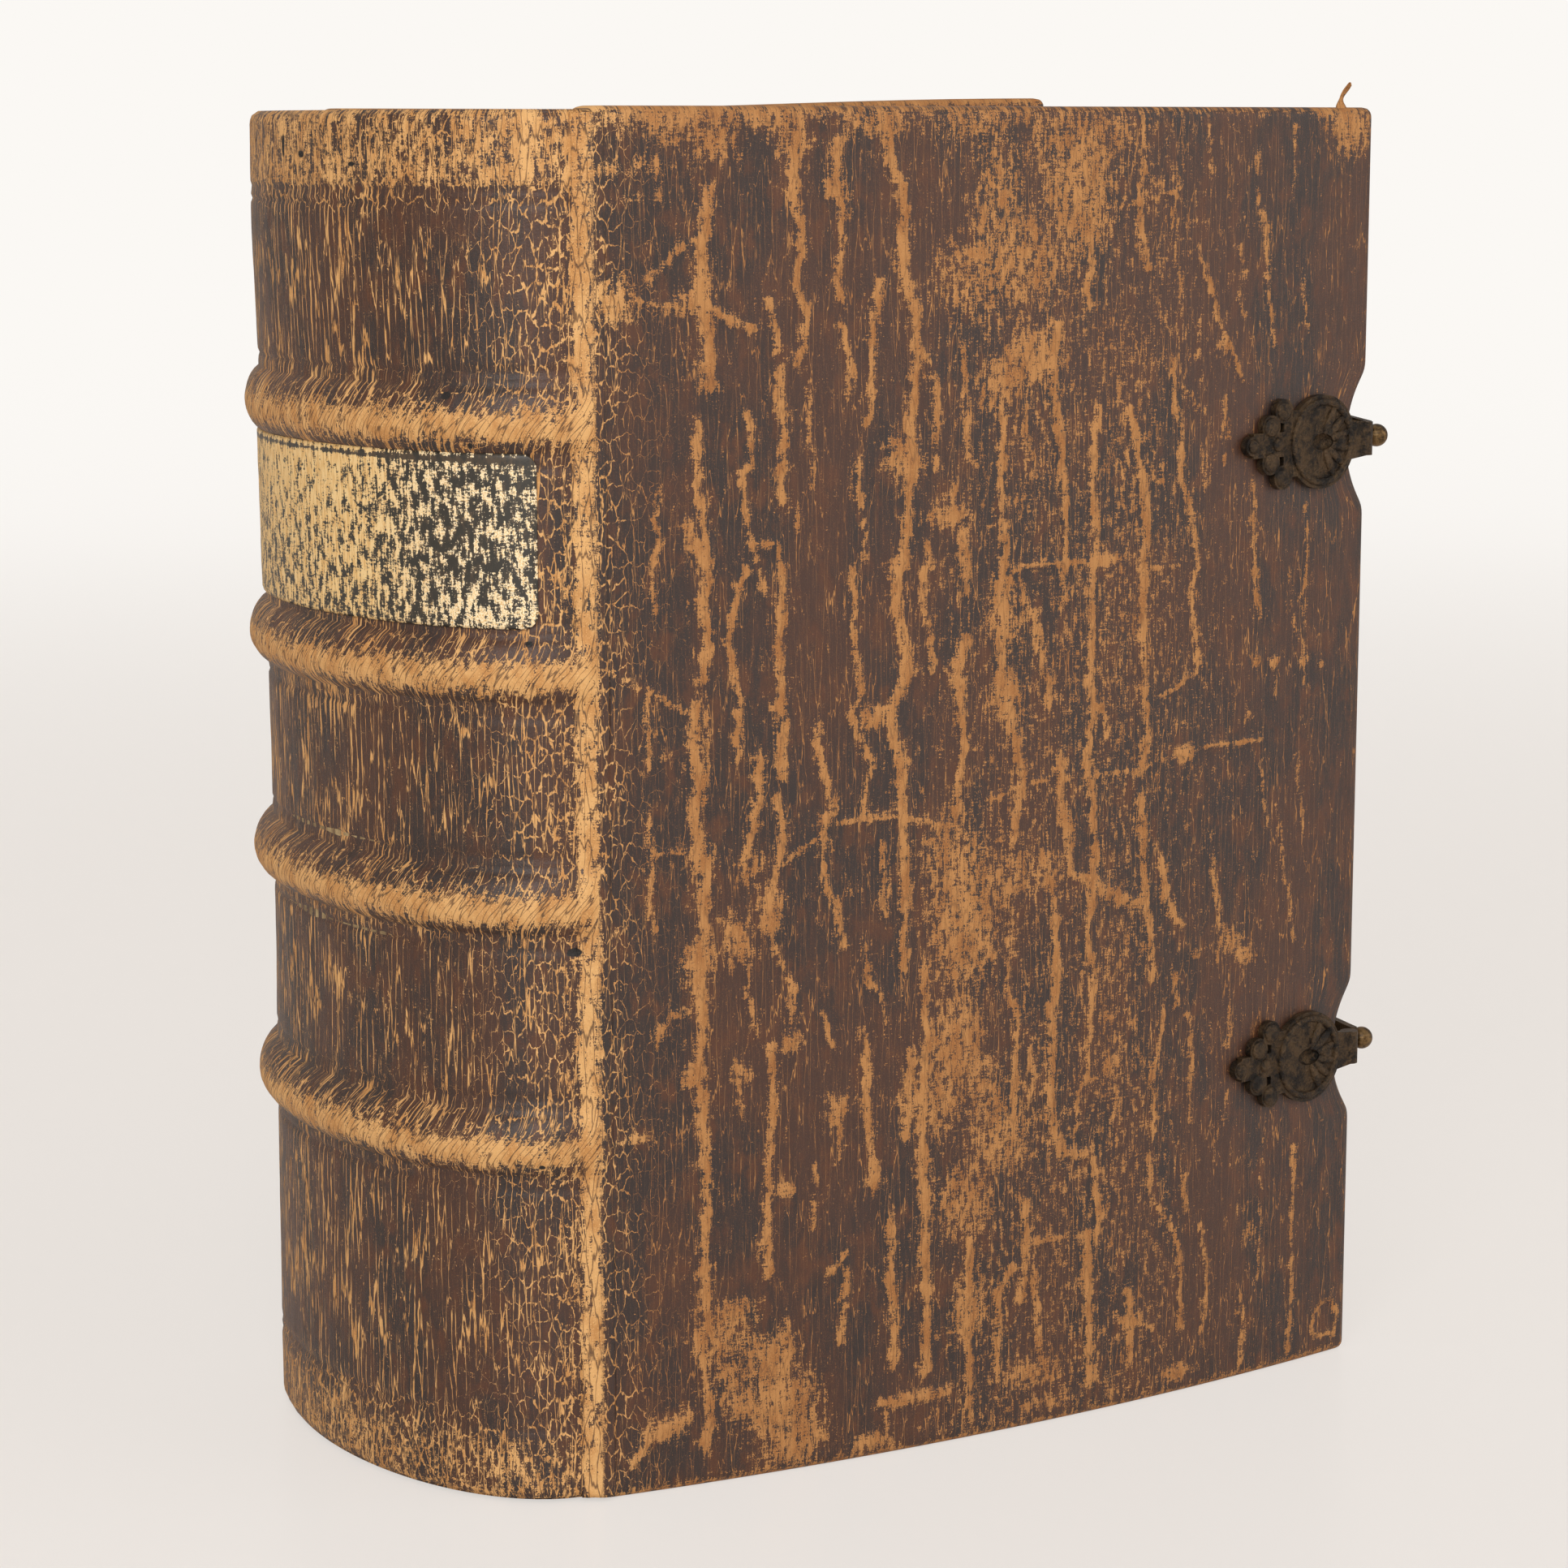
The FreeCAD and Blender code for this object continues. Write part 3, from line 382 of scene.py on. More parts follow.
# Worn patches of the front cover: middle pixel, half width and half height in mm, and strength
PATCHES = (
    (845, 375, 3, 2, 0.85), (762, 372, 3.4, 3.6, 0.85), (740, 372, 2.5, 3, 0.8), (978, 175, 3.5, 5, 0.7),
    (1030, 235, 2.8, 2, 0.85), (1115, 560, 3.5, 4, 0.82), (1170, 630, 4, 3, 0.82), (820, 165, 3.5, 2, 0.66),
    (755, 205, 3, 1.5, 0.62), (800, 205, 4, 1.3, 0.62), (880, 165, 5, 5, 0.72), (780, 247, 2, 1, 0.7),
    (1190, 340, 6, 7, 0.64), (1230, 250, 5, 13, 0.68), (1330, 230, 8, 15, 0.75), (1260, 320, 11, 10, 0.69),
    (1215, 330, 5, 10, 0.68), (1345, 170, 5, 5, 0.7), (1385, 160, 4, 4, 0.66), (1300, 170, 6, 4, 0.6),
    (1275, 440, 6.5, 5, 0.84), (1235, 470, 5, 5, 0.78), (1365, 690, 4, 1.5, 0.8), (1510, 430, 1.5, 1.5, 0.75),
    (862, 1190, 3, 4, 0.9), (866, 1060, 2.6, 3, 0.88), (925, 1070, 3, 2.5, 0.72), (950, 1120, 2.6, 4, 0.9),
    (910, 1160, 3, 4, 0.78), (1077, 883, 2.3, 2, 1.0), (1185, 1110, 7, 14, 0.78), (1170, 1050, 6, 8, 0.7),
    (1190, 1150, 7, 11, 0.78), (820, 935, 1.2, 0.8, 0.8), (1240, 760, 4.5, 8, 0.7), (1242, 855, 3, 4.5, 0.95),
    (1547, 815, 0.9, 0.9, 0.95), (1570, 818, 1.4, 1.4, 1.0), (1608, 815, 1.0, 0.9, 0.95),
    (1630, 815, 0.8, 0.8, 0.9),
    (1460, 932, 2.6, 1.8, 1.0), (1537, 885, 0.9, 1.2, 0.85), (1240, 1080, 9, 6, 0.66),
    (1290, 1075, 5, 4, 0.68),
    (1520, 1160, 3, 3, 0.72), (1535, 1176, 2.5, 2, 0.8), (1475, 1175, 1.2, 1.2, 0.75),
    (858, 1325, 2.6, 2, 0.95),
    (975, 1285, 2.6, 2, 0.84), (970, 1468, 2.2, 1.4, 0.8), (945, 1535, 1.6, 2.4, 0.84),
    (915, 1325, 2, 2, 0.74),
    (1030, 1370, 2.6, 3.4, 0.75), (1125, 1350, 3.5, 7, 0.7), (1180, 1290, 6, 9, 0.82),
    (1160, 1360, 5, 6, 0.74),
    (1190, 1480, 7, 8, 0.7), (1195, 1610, 4, 7, 0.78), (900, 1620, 5, 3, 0.8), (880, 1650, 4, 4, 0.78),
    (910, 1685, 6, 7, 0.66), (950, 1680, 5, 5, 0.84), (960, 1730, 7.5, 6, 0.84), (980, 1772, 6.5, 5, 0.84),
    (915, 1730, 3, 3, 0.8), (820, 1762, 4, 2, 0.8), (1070, 1780, 3, 2.5, 0.82), (785, 1405, 1.8, 1.1, 0.9),
    (1235, 1400, 7, 7, 0.72), (1215, 1340, 4, 7, 0.68), (1370, 1312, 2, 2, 0.8), (1540, 1520, 1.6, 2, 0.66),
    (1535, 1490, 1.4, 1, 0.64), (1393, 1630, 2.2, 2.6, 0.9), (1275, 1690, 7, 3, 0.7),
    (1290, 1725, 6, 2.2, 0.62),
    (1450, 1690, 4, 1.5, 0.82), (1665, 150, 5, 6.5, 0.84), (1640, 133, 5, 2, 0.84), (1200, 150, 9, 3, 0.68),
    (1080, 148, 8, 3, 0.7), (830, 140, 14, 3, 0.8), (940, 140, 9, 3, 0.78), (1300, 150, 12, 2.5, 0.64),
)


def wandered(x, z, seed):
    """Points shifted a little, so that drawn streaks get uneven edges."""
    bent_x = x + 1.7 * (layered(x / 4, z / 8, seed) - 0.5) + 1.0 * (layered(x / 1.3, z / 1.6, seed + 7) - 0.5)
    return bent_x, z + 1.8 * (layered(x / 5, z / 6, seed + 20) - 0.5)


def drawn_wear(x, z):
    """Wear of the front cover that follows the photograph's streaks and patches."""
    worn = np.zeros_like(x)
    bent_x, bent_z = wandered(x, z, 31)
    swell = 0.42 + 1.05 * layered(bent_x / 7, bent_z / 4.5, 37)
    for width, strength, *pixels in STREAKS:
        line = np.array([on_front(*pixel) for pixel in pixels])
        low = line.min(axis=0) - 4 * width
        high = line.max(axis=0) + 4 * width
        near = (x > low[0]) & (x < high[0]) & (z > low[1]) & (z < high[1])
        spot = np.stack((bent_x[near], bent_z[near]), 1)
        away = np.full(len(spot), 1e6)
        for start, end in zip(line[:-1], line[1:]):
            run = end - start
            share = np.clip((spot - start) @ run / (run @ run), 0, 1)
            away = np.minimum(away, np.linalg.norm(spot - start - share[:, None] * run, axis=1))
        core = 0.93 * strength * np.exp(-(away / (0.8 * width * swell[near])) ** 2)
        fringe = 0.3 * strength * np.exp(-(away / (2.1 * width * swell[near])) ** 2)
        worn[near] = np.maximum(worn[near], np.maximum(core, fringe))
    for pixel_x, pixel_y, half_x, half_z, strength in PATCHES:
        middle_x, middle_z = on_front(pixel_x, pixel_y)
        square = ((bent_x - middle_x) / half_x) ** 2 + ((bent_z - middle_z) / half_z) ** 2
        worn = np.maximum(worn, 0.84 * strength * np.exp(-0.8 * square ** 1.5))
    return worn


# How mottled the front cover is at some distances from the joint
MOTTLE_SPOTS = (0, 12, 25, 45, 58, 70, 88, 98, 112, 125, 138)
MOTTLE = (0.02, 0.02, 0.04, 0.07, 0.22, 0.33, 0.33, 0.23, 0.1, 0.04, 0.0)


def front_wear(x, z):
    """Wear of the front cover. x is the distance from the joint."""
    worn = np.interp(x, MOTTLE_SPOTS, MOTTLE) + 0.26 * (layered(x / 8, z / 22, 11) - 0.5)
    worn = np.maximum(worn, drawn_wear(x, z))
    top = HEIGHT - z
    ragged = 0.7 + 0.9 * layered(x / 5, z / 5, 15)
    reach = ragged * np.interp(x, (0, 40, 138), (3.2, 2.0, 1.2))
    worn = np.maximum(worn, (0.66 - 0.002 * x) * np.exp(-(top / reach) ** 2))
    worn = np.maximum(worn, 0.6 * np.exp(-(z / (1.3 * ragged)) ** 2))
    return np.maximum(worn, 0.42 * np.exp(-((WIDTH - x) / 0.8) ** 2))


def back_wear(x, z):
    """Wear of the back cover, which the photograph doesn't show: plainer streaks of the same kind."""
    line = layered(x / 3.2, z / 45, 61, 3)
    worn = 0.02 + 0.6 * step(line, 0.58, 0.8) + 0.2 * np.exp(-((x - 70) / 30) ** 2)
    worn = worn + 0.2 * (layered(x / 9, z / 26, 63) - 0.5)
    edge = np.minimum(HEIGHT - z, z)
    worn = np.maximum(worn, 0.75 * np.exp(-(edge / 2.0) ** 2))
    return np.maximum(worn, 0.55 * np.exp(-((WIDTH - x) / 1.6) ** 2))


def band_at(v, offset, half):
    """1 near a raised band's middle, shifted by an offset, and 0 away from it."""
    near = 0 * v
    for level in BANDS:
        near = np.maximum(near, np.exp(-((v - level - offset) / half) ** 2))
    return near


# Heights of the tooled lines: one on each side of every band, and two near each end
TOOLED = tuple(level + side * 6.6 for level in BANDS for side in (-1, 1)) \
    + (HEIGHT - 11.6, HEIGHT - 13.2, 11.2, 12.8)


def tooled_lines(v):
    """1 in the grooves of the tooled lines across the spine."""
    line = 0 * v
    for level in TOOLED:
        line = np.maximum(line, np.exp(-((v - level) / 0.45) ** 2))
    return line


def spine_wear(u, v):
    """Wear of the spine: the bands, both ends and the joints are rubbed most."""
    worn = 0.08 + 0.34 * (layered(u / 9, v / 14, 21) - 0.5)
    worn = np.maximum(worn, (1.12 - 0.5 * layered(u / 3, v / 2, 23)) * band_at(v, -0.8, 2.8))
    head = 0.84 - 0.75 * layered(u / 2.2, v / 11, 25) + 0.22 * np.exp(-((u + 9) / 7) ** 2)
    worn = np.maximum(worn, head * step(v, 185, 190))
    worn = np.maximum(worn, (0.66 - 0.5 * layered(u / 3, v / 4, 27)) * step(-v, -15, -6))
    near_joint = np.minimum(-u, SPINE_AROUND + u)
    worn = np.maximum(worn, 0.42 * np.exp(-(near_joint / 6.0) ** 2) * (0.6 + 0.8 * layered(u / 3, v / 9, 29)))
    tooled = tooled_lines(v)
    return worn * (1 - 0.75 * tooled) - 0.42 * tooled


def hide_parts(u):
    """Which points lie on the front cover, on the spine and on the back cover."""
    return u > 0, (u <= 0) & (u >= -SPINE_AROUND), u < -SPINE_AROUND


def hide_wear(u, v):
    """Wear over the whole hide, from 0 for dark to 1 for rubbed through."""
    worn = np.zeros_like(u)
    front, spine, back = hide_parts(u)
    worn[front] = front_wear(u[front], v[front])
    worn[spine] = spine_wear(u[spine], v[spine])
    worn[back] = back_wear(-u[back] - SPINE_AROUND, v[back])
    ragged = 0.8 + 0.5 * layered(u / 3, v / 8, 33)
    near_joint = np.minimum(np.abs(u + 1.1), np.abs(u + SPINE_AROUND - 1.1))
    ridge = np.exp(-(near_joint / (1.55 * ragged)) ** 4)
    return np.maximum(worn, (0.9 - 0.35 * layered(u / 1.5, v / 12, 34)) * ridge)


def hide_cracks(u, v):
    """How strongly long upright cracks show in the hide, from 0 to 1."""
    front, spine, back = hide_parts(u)
    cracks = np.full_like(u, 0.16)
    dense = 0.5 + 0.5 * step(-u, 30, 44) * step(u, -SPINE_AROUND, 16 - SPINE_AROUND)
    cracks[spine] = (dense * (0.65 + 0.7 * layered(u / 12, v / 30, 35)))[spine]
    cracks[back] = 0.22
    return cracks * (1 - 0.6 * tooled_lines(v) * spine)


def hide_net(u, v):
    """How strongly a net of small cracks shows, from 0 to 1."""
    spine = hide_parts(u)[1]
    joint = np.minimum(np.abs(u + 4), np.abs(u + SPINE_AROUND - 4))
    net = 0.75 * np.exp(-(joint / 9) ** 2)
    net = np.maximum(net, 0.8 * spine * np.maximum(step(v, 184, 189), step(-v, -16, -7)))
    net = np.maximum(net, 0.7 * spine * band_at(v, 0, 4.5))
    return np.clip(net * (0.4 + 1.1 * layered(u / 8, v / 12, 39)), 0, 1)


def hide_pale(u):
    """Where the bare leather is paler: on the spine and its joints."""
    edge = np.maximum(u, -SPINE_AROUND - u)
    return 1 - 0.85 * step(edge, 0, 9)


def band_slant(u, v):
    """Shift along the hide that makes the cracks lean where they cross a raised band."""
    shift = 0 * v
    for level in BANDS:
        shift = shift + 2.4 * np.tanh((v - level) / 3.0)
    return u - shift * hide_parts(u)[1]


def hide_relief(u, v):
    """Height of the hide's surface in mm: wrinkles stand up along the worn streaks."""
    worn = hide_wear(u, v)
    relief = 0.3 * step(worn, 0.4, 0.95) * (0.4 + 0.6 * (u > 0))
    return relief + 0.35 * (layered(u / 11, v / 38, 71) - 0.5) + 0.2 * (layered(u / 2.4, v / 9, 75) - 0.5)


# Mesh building
def mesh_object(name, points, faces):
    """A smoothly shaded mesh object from points in millimetres."""
    data = bpy.data.meshes.new(name)
    data.from_pydata([tuple(point) for point in np.asarray(points) * MM], [], faces)
    data.validate()
    data.update()
    data.polygons.foreach_set("use_smooth", [True] * len(data.polygons))
    piece = bpy.data.objects.new(name, data)
    bpy.context.scene.collection.objects.link(piece)
    return piece


class Shell:
    """Collects points and faces. Points that fall together are one point."""

    def __init__(self):
        self.points = []
        self.index = {}
        self.faces = []

    def point(self, x, y, z):
        key = (round(x, 4), round(y, 4), round(z, 4))
        if key not in self.index:
            self.index[key] = len(self.points)
            self.points.append(key)
        return self.index[key]

    def grid(self, lines, flip=False):
        """Fill a grid of point numbers with four-sided faces."""
        for low, high in zip(lines[:-1], lines[1:]):
            for k in range(len(low) - 1):
                face = (low[k], low[k + 1], high[k + 1], high[k])
                self.add(face, flip)

    def add(self, face, flip):
        face = [corner for n, corner in enumerate(face) if corner != face[n - 1]]
        if len(face) > 2:
            self.faces.append(tuple(reversed(face)) if flip else tuple(face))

    def stitch(self, fine, coarse, flip=False):
        """Join a fine line of points to a coarse one that has a whole share of its points."""
        ratio = (len(fine) - 1) // (len(coarse) - 1)
        for k in range(len(coarse) - 1):
            for n in range(ratio):
                near = coarse[k] if n < ratio / 2 else coarse[k + 1]
                self.add((fine[k * ratio + n], fine[k * ratio + n + 1], near), flip)
            middle = fine[k * ratio + (ratio + 1) // 2]
            self.add((middle, coarse[k + 1], coarse[k]), flip)


def spaced(length, pitch, ratio, border, border_steps):
    """Places along an edge: close together near both rounded ends, even between them."""
    ends = border * (1 - np.cos(np.linspace(0, math.pi / 2, border_steps + 1)))
    count = int(round((length - 2 * border) / pitch))
    count += (ratio - (count + 2 * border_steps) % ratio) % ratio
    middle = np.linspace(border, length - border, count + 1)
    return np.concatenate((ends[:-1], middle, (length - ends)[::-1][1:]))


RATIO = 4


def slab_shell(length, depth, height, pitch, border):
    """A flat slab from 0 to its length, depth and height, fine outside and coarse inside."""
    xs = spaced(length, pitch, RATIO, border, 4)
    zs = spaced(height, pitch, RATIO, border, 4)
    ds = np.concatenate((border * (1 - np.cos(np.linspace(0, math.pi / 2, 4))),
                         np.linspace(border, depth - border * 0.5, 5)[1:], [depth]))
    shell = Shell()
    point = shell.point
    shell.grid([[point(x, 0, z) for x in xs] for z in zs])
    inner_x = xs[::RATIO]
    inner_z = zs[::RATIO]
    shell.grid([[point(x, depth, z) for x in inner_x] for z in inner_z], True)
    for z, flip in ((0, True), (height, False)):
        rows = [[point(x, d, z) for x in xs] for d in ds[:-1]]
        shell.grid(rows, flip)
        shell.stitch(rows[-1], [point(x, depth, z) for x in inner_x], flip)
    for x, flip in ((0, False), (length, True)):
        rows = [[point(x, d, z) for z in zs] for d in ds[:-1]]
        shell.grid(rows, flip)
        shell.stitch(rows[-1], [point(x, depth, z) for z in inner_z], flip)
    return shell


def rounded_slab(points, length, depth, height, radius):
    """Round the edges and corners of a slab by pushing its points onto a rounded box."""
    low = np.array((radius, radius, radius))
    high = np.array((length - radius, depth - radius, height - radius))
    core = np.clip(points, low, high)
    away = points - core
    size = np.linalg.norm(away, axis=1, keepdims=True)
    return core + away * np.where(size > 0, radius / np.maximum(size, 1e-9), 0)


def notch_pull(x, z):
    """How far the clasp hollows pull the fore-edge in at each point."""
    radius = (NOTCH_HEIGHT ** 2 / 4 + NOTCH_DEPTH ** 2) / (2 * NOTCH_DEPTH)
    pull = 0 * z
    for level in CLASP_LEVELS:
        away = np.abs(z - level)
        hollow = np.sqrt(np.clip(radius ** 2 - away ** 2, 0, None)) - (radius - NOTCH_DEPTH)
        soft = np.logaddexp(0, hollow / 0.45) * 0.45
        pull = np.maximum(pull, np.minimum(soft, NOTCH_DEPTH + 0.1))
    return pull * step(x, WIDTH - 14, WIDTH)


def set_hide_data(piece, u, v):
    """Write the hide map and its wear to a mesh, for the leather material."""
    data = piece.data
    layer = data.uv_layers.new(name="hide")
    corners = np.empty(len(data.loops), dtype=int)
    data.loops.foreach_get("vertex_index", corners)
    flat = np.stack((u[corners] / 100, v[corners] / 100), 1)
    layer.data.foreach_set("uv", flat.astype(np.float32).ravel())
    leaning = data.attributes.new("leaning", "FLOAT", "POINT")
    leaning.data.foreach_set("value", (band_slant(u, v) / 100).astype(np.float32))
    for name, values in (("wear", hide_wear(u, v)), ("cracks", hide_cracks(u, v)),
                         ("net", hide_net(u, v)), ("pale", hide_pale(u))):
        attribute = data.attributes.new(name, "FLOAT", "POINT")
        attribute.data.foreach_set("value", values.astype(np.float32))


def make_cover(side, name, body, pitch):
    """The leather over one board: a bowed slab with rounded edges, hollows, wrinkles and worn corners."""
    length = WIDTH - JOINT_GAP
    shell = slab_shell(length, COVER_DEPTH, HEIGHT, pitch, 1.6)
    flat = np.array(shell.points)
    sharp = flat.copy()
    flat = rounded_slab(flat, length, COVER_DEPTH, HEIGHT, 1.5)
    x, depth, z = flat.T
    x = x + JOINT_GAP
    u = x if side < 0 else -SPINE_AROUND - x
    outside = step(-depth, -1.6, -0.2)
    relief = hide_relief(u, z) * outside
    border = np.minimum.reduce((z, HEIGHT - z, WIDTH - x, x))
    depth = depth + 0.25 - relief * step(border, 0.2, 3.0)
    if side < 0:
        x = x - notch_pull(x, z)
    else:
        z = z * (1 + BACK_RISE / HEIGHT * step(x, 40, WIDTH))
    world_x = JOINT_X + x
    y = cover_face(world_x, depth)
    points = np.stack((world_x, side * y, z), 1)
    faces = shell.faces if side < 0 else [tuple(reversed(face)) for face in shell.faces]
    piece = mesh_object(name, points, faces)
    set_hide_data(piece, u, sharp[:, 2])
    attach(piece, body)
    return piece


# Materials
def linear(code):
    """Turn a colour code such as 4a332a into linear red, green, blue and alpha."""
    parts = [int(code[n:n + 2], 16) / 255 for n in (0, 2, 4)]
    return tuple(p / 12.92 if p <= 0.04045 else ((p + 0.055) / 1.055) ** 2.4 for p in parts) + (1,)


class Nodes:
    """Short calls for building a material's nodes."""

    def __init__(self, name):
        self.material = bpy.data.materials.new(name)
        self.material.use_nodes = True
        self.tree = self.material.node_tree
        self.shader = self.tree.nodes["Principled BSDF"]

    def add(self, kind, **settings):
        node = self.tree.nodes.new(kind)
        for key, value in settings.items():
            setattr(node, key, value)
        return node

    def link(self, source, target):
        self.tree.links.new(source, target)

    def feed(self, socket, value):
        if isinstance(value, bpy.types.NodeSocket):
            self.link(value, socket)
        else:
            socket.default_value = value

    def math(self, operation, first, second=0.0, clamp=False):
        node = self.add("ShaderNodeMath", operation=operation, use_clamp=clamp)
        self.feed(node.inputs[0], first)
        self.feed(node.inputs[1], second)
        return node.outputs[0]

    def smooth(self, value, low, high):
        node = self.add("ShaderNodeMapRange", interpolation_type="SMOOTHSTEP")
        self.feed(node.inputs["Value"], value)
        self.feed(node.inputs["From Min"], low)
        self.feed(node.inputs["From Max"], high)
        return node.outputs["Result"]

    def scaled(self, vector, x, y, z=1.0):
        node = self.add("ShaderNodeMapping")
        self.link(vector, node.inputs["Vector"])
        node.inputs["Scale"].default_value = (x, y, z)
        return node.outputs["Vector"]

    def noise(self, vector, scale=1.0, detail=4.0, rough=0.6, flat=True):
        node = self.add("ShaderNodeTexNoise", noise_dimensions="2D" if flat else "3D")
        self.link(vector, node.inputs["Vector"])
        node.inputs["Scale"].default_value = scale
        node.inputs["Detail"].default_value = detail
        node.inputs["Roughness"].default_value = rough
        return node.outputs[0]

    def around_half(self, value, amount):
        """A noise value moved to lie about 0 and scaled."""
        return self.math("MULTIPLY", self.math("SUBTRACT", value, 0.5), amount)

    def total(self, *values):
        """The sum of several values."""
        result = values[0]
        for value in values[1:]:
            result = self.math("ADD", result, value)
        return result

    def cells(self, vector, scale, feature="F1"):
        node = self.add("ShaderNodeTexVoronoi", feature=feature, voronoi_dimensions="2D")
        self.link(vector, node.inputs["Vector"])
        node.inputs["Scale"].default_value = scale
        return node.outputs["Distance"]

    def shaken(self, vector, scale, amount):
        """A vector bent by noise, so that lines drawn on it wander."""
        node = self.add("ShaderNodeTexNoise", noise_dimensions="2D")
        self.link(vector, node.inputs["Vector"])
        node.inputs["Scale"].default_value = scale
        node.inputs["Detail"].default_value = 3
        shift = self.add("ShaderNodeVectorMath", operation="MULTIPLY_ADD")
        self.link(node.outputs["Color"], shift.inputs[0])
        shift.inputs[1].default_value = (amount, amount, 0)
        self.link(vector, shift.inputs[2])
        return shift.outputs["Vector"]

    def crack(self, edge, width):
        """1 on a cell's edge, falling to 0 at a width from it."""
        share = self.math("DIVIDE", edge, self.math("ADD", width, 0.001))
        return self.math("SUBTRACT", 1.0, share, clamp=True)

    def pair(self, x, y):
        node = self.add("ShaderNodeCombineXYZ")
        self.feed(node.inputs["X"], x)
        self.feed(node.inputs["Y"], y)
        return node.outputs["Vector"]

    def mix(self, share, first, second):
        node = self.add("ShaderNodeMix", data_type="RGBA")
        self.feed(node.inputs["Factor"], share)
        self.feed(node.inputs["A"], first)
        self.feed(node.inputs["B"], second)
        return node.outputs["Result"]

    def attribute(self, name):
        node = self.add("ShaderNodeAttribute", attribute_name=name)
        return node.outputs["Fac"]

    def bump(self, height, distance, strength=1.0, normal=None):
        node = self.add("ShaderNodeBump")
        self.link(height, node.inputs["Height"])
        node.inputs["Distance"].default_value = distance
        node.inputs["Strength"].default_value = strength
        if normal is not None:
            self.link(normal, node.inputs["Normal"])
        return node.outputs["Normal"]


# Woodworm holes and slits of the spine: pixel, and half width and half height in mm
HOLES = (
    (555, 487, 0.9, 0.6), (583, 549, 0.5, 0.5), (652, 793, 0.6, 0.45), (708, 1174, 1.2, 0.7),
    (668, 1436, 0.5, 0.4), (379, 190, 1.1, 0.6), (440, 202, 0.8, 0.4), (357, 180, 0.6, 1.9),
    (312, 268, 1.6, 1.6),
)


def hide_leather():
    """Dark calf that is rubbed through to tan along wrinkles, bands and edges."""
    n = Nodes("worn_hide")
    uv = n.add("ShaderNodeUVMap", uv_map="hide").outputs["UV"]
    split = n.add("ShaderNodeSeparateXYZ")
    n.link(uv, split.inputs["Vector"])
    leaning = n.pair(n.attribute("leaning"), split.outputs["Y"])
    wear = n.attribute("wear")
    cracks = n.attribute("cracks")
    net = n.attribute("net")
    pale = n.attribute("pale")

    # Rubbed places have ragged edges with short side cracks
    ragged = n.noise(n.scaled(uv, 105, 50), detail=7, rough=0.66)
    comb = n.noise(n.scaled(uv, 50, 290), detail=3)
    hair = n.noise(n.scaled(leaning, 300, 20), detail=3)
    fine = n.noise(n.scaled(uv, 520, 430), detail=2)
    level = n.total(wear, n.around_half(ragged, 1.7), n.around_half(comb, 0.75),
                    n.around_half(hair, 0.85), n.around_half(fine, 0.8))
    rubbed = n.smooth(level, 0.44, 0.6)

    # Long upright cracks, and a net of small ones
    patchy = n.noise(n.scaled(uv, 26, 9), detail=3)
    long_edge = n.cells(n.shaken(n.scaled(leaning, 84, 6.5), 1.5, 0.8), 1.0, "DISTANCE_TO_EDGE")
    long_width = n.math("MULTIPLY", cracks, n.smooth(patchy, 0.34, 0.66))
    long_width = n.math("MULTIPLY", long_width, 0.13)
    upright = n.crack(long_edge, long_width)
    net_edge = n.cells(n.shaken(n.scaled(leaning, 62, 34), 1.0, 0.9), 1.0, "DISTANCE_TO_EDGE")
    net_width = n.math("MULTIPLY", net, n.math("MULTIPLY", n.smooth(ragged, 0.35, 0.6), 0.14))
    small = n.crack(net_edge, net_width)
    lines = n.smooth(n.math("MAXIMUM", upright, small), 0.0, 0.4)
    bare = n.math("MAXIMUM", rubbed, lines)

    broad = n.noise(n.scaled(uv, 7, 2.6), detail=4)
    middle = n.noise(n.scaled(uv, 30, 14), detail=6, rough=0.65)
    dark = n.mix(n.smooth(broad, 0.4, 0.6), linear("2c221f"), linear("40281d"))
    dark = n.mix(n.smooth(middle, 0.47, 0.7), dark, linear("4e2d1a"))
    strands = n.smooth(n.total(hair, n.around_half(fine, 0.8)), 0.55, 0.8)
    dark = n.mix(n.math("MULTIPLY", strands, 0.6), dark, linear("6a4225"))
    board_tan = n.mix(n.smooth(middle, 0.32, 0.66), linear("8f5a2b"), linear("a9743e"))
    spine_tan = n.mix(n.smooth(middle, 0.32, 0.66), linear("b98246"), linear("d6a568"))
    tan = n.mix(pale, board_tan, spine_tan)
    tan = n.mix(n.smooth(fine, 0.55, 0.8), tan, n.mix(pale, linear("b98349"), linear("e0b67c")))
    split_edge = n.cells(n.shaken(n.scaled(leaning, 105, 15), 0.9, 1.0), 1.0, "DISTANCE_TO_EDGE")
    splits = n.math("SUBTRACT", 1.0, n.smooth(split_edge, 0.01, 0.085))
    splits = n.math("MULTIPLY", splits, n.math("ADD", n.math("MULTIPLY", pale, 0.5), 0.3))
    colour = n.mix(n.math("MULTIPLY", bare, n.math("SUBTRACT", 1.0, splits)), dark, tan)

    # Each hole is a dark oval at its place on the hide map: near-black painted shade that stands in for the
    # hole's shaded depth
    pits = None
    for pixel_x, pixel_y, half_x, half_z in HOLES:
        place_u, place_v = on_spine(pixel_x, pixel_y)
        shift = n.add("ShaderNodeVectorMath", operation="SUBTRACT")
        n.link(uv, shift.inputs[0])
        shift.inputs[1].default_value = (place_u / 100, place_v / 100, 0)
        size = n.add("ShaderNodeVectorMath", operation="LENGTH")
        n.link(n.scaled(shift.outputs["Vector"], 100 / half_x, 100 / half_z), size.inputs[0])
        pit = n.math("ADD", size.outputs["Value"], n.around_half(ragged, 0.9))
        pits = pit if pits is None else n.math("MINIMUM", pits, pit)
    solid = n.smooth(pits, 0.75, 1.0)
    # Painted shade: the inside of each hole is coloured near black instead of being cut into the hide
    colour = n.mix(solid, linear("120c09"), colour)
    n.link(colour, n.shader.inputs["Base Color"])

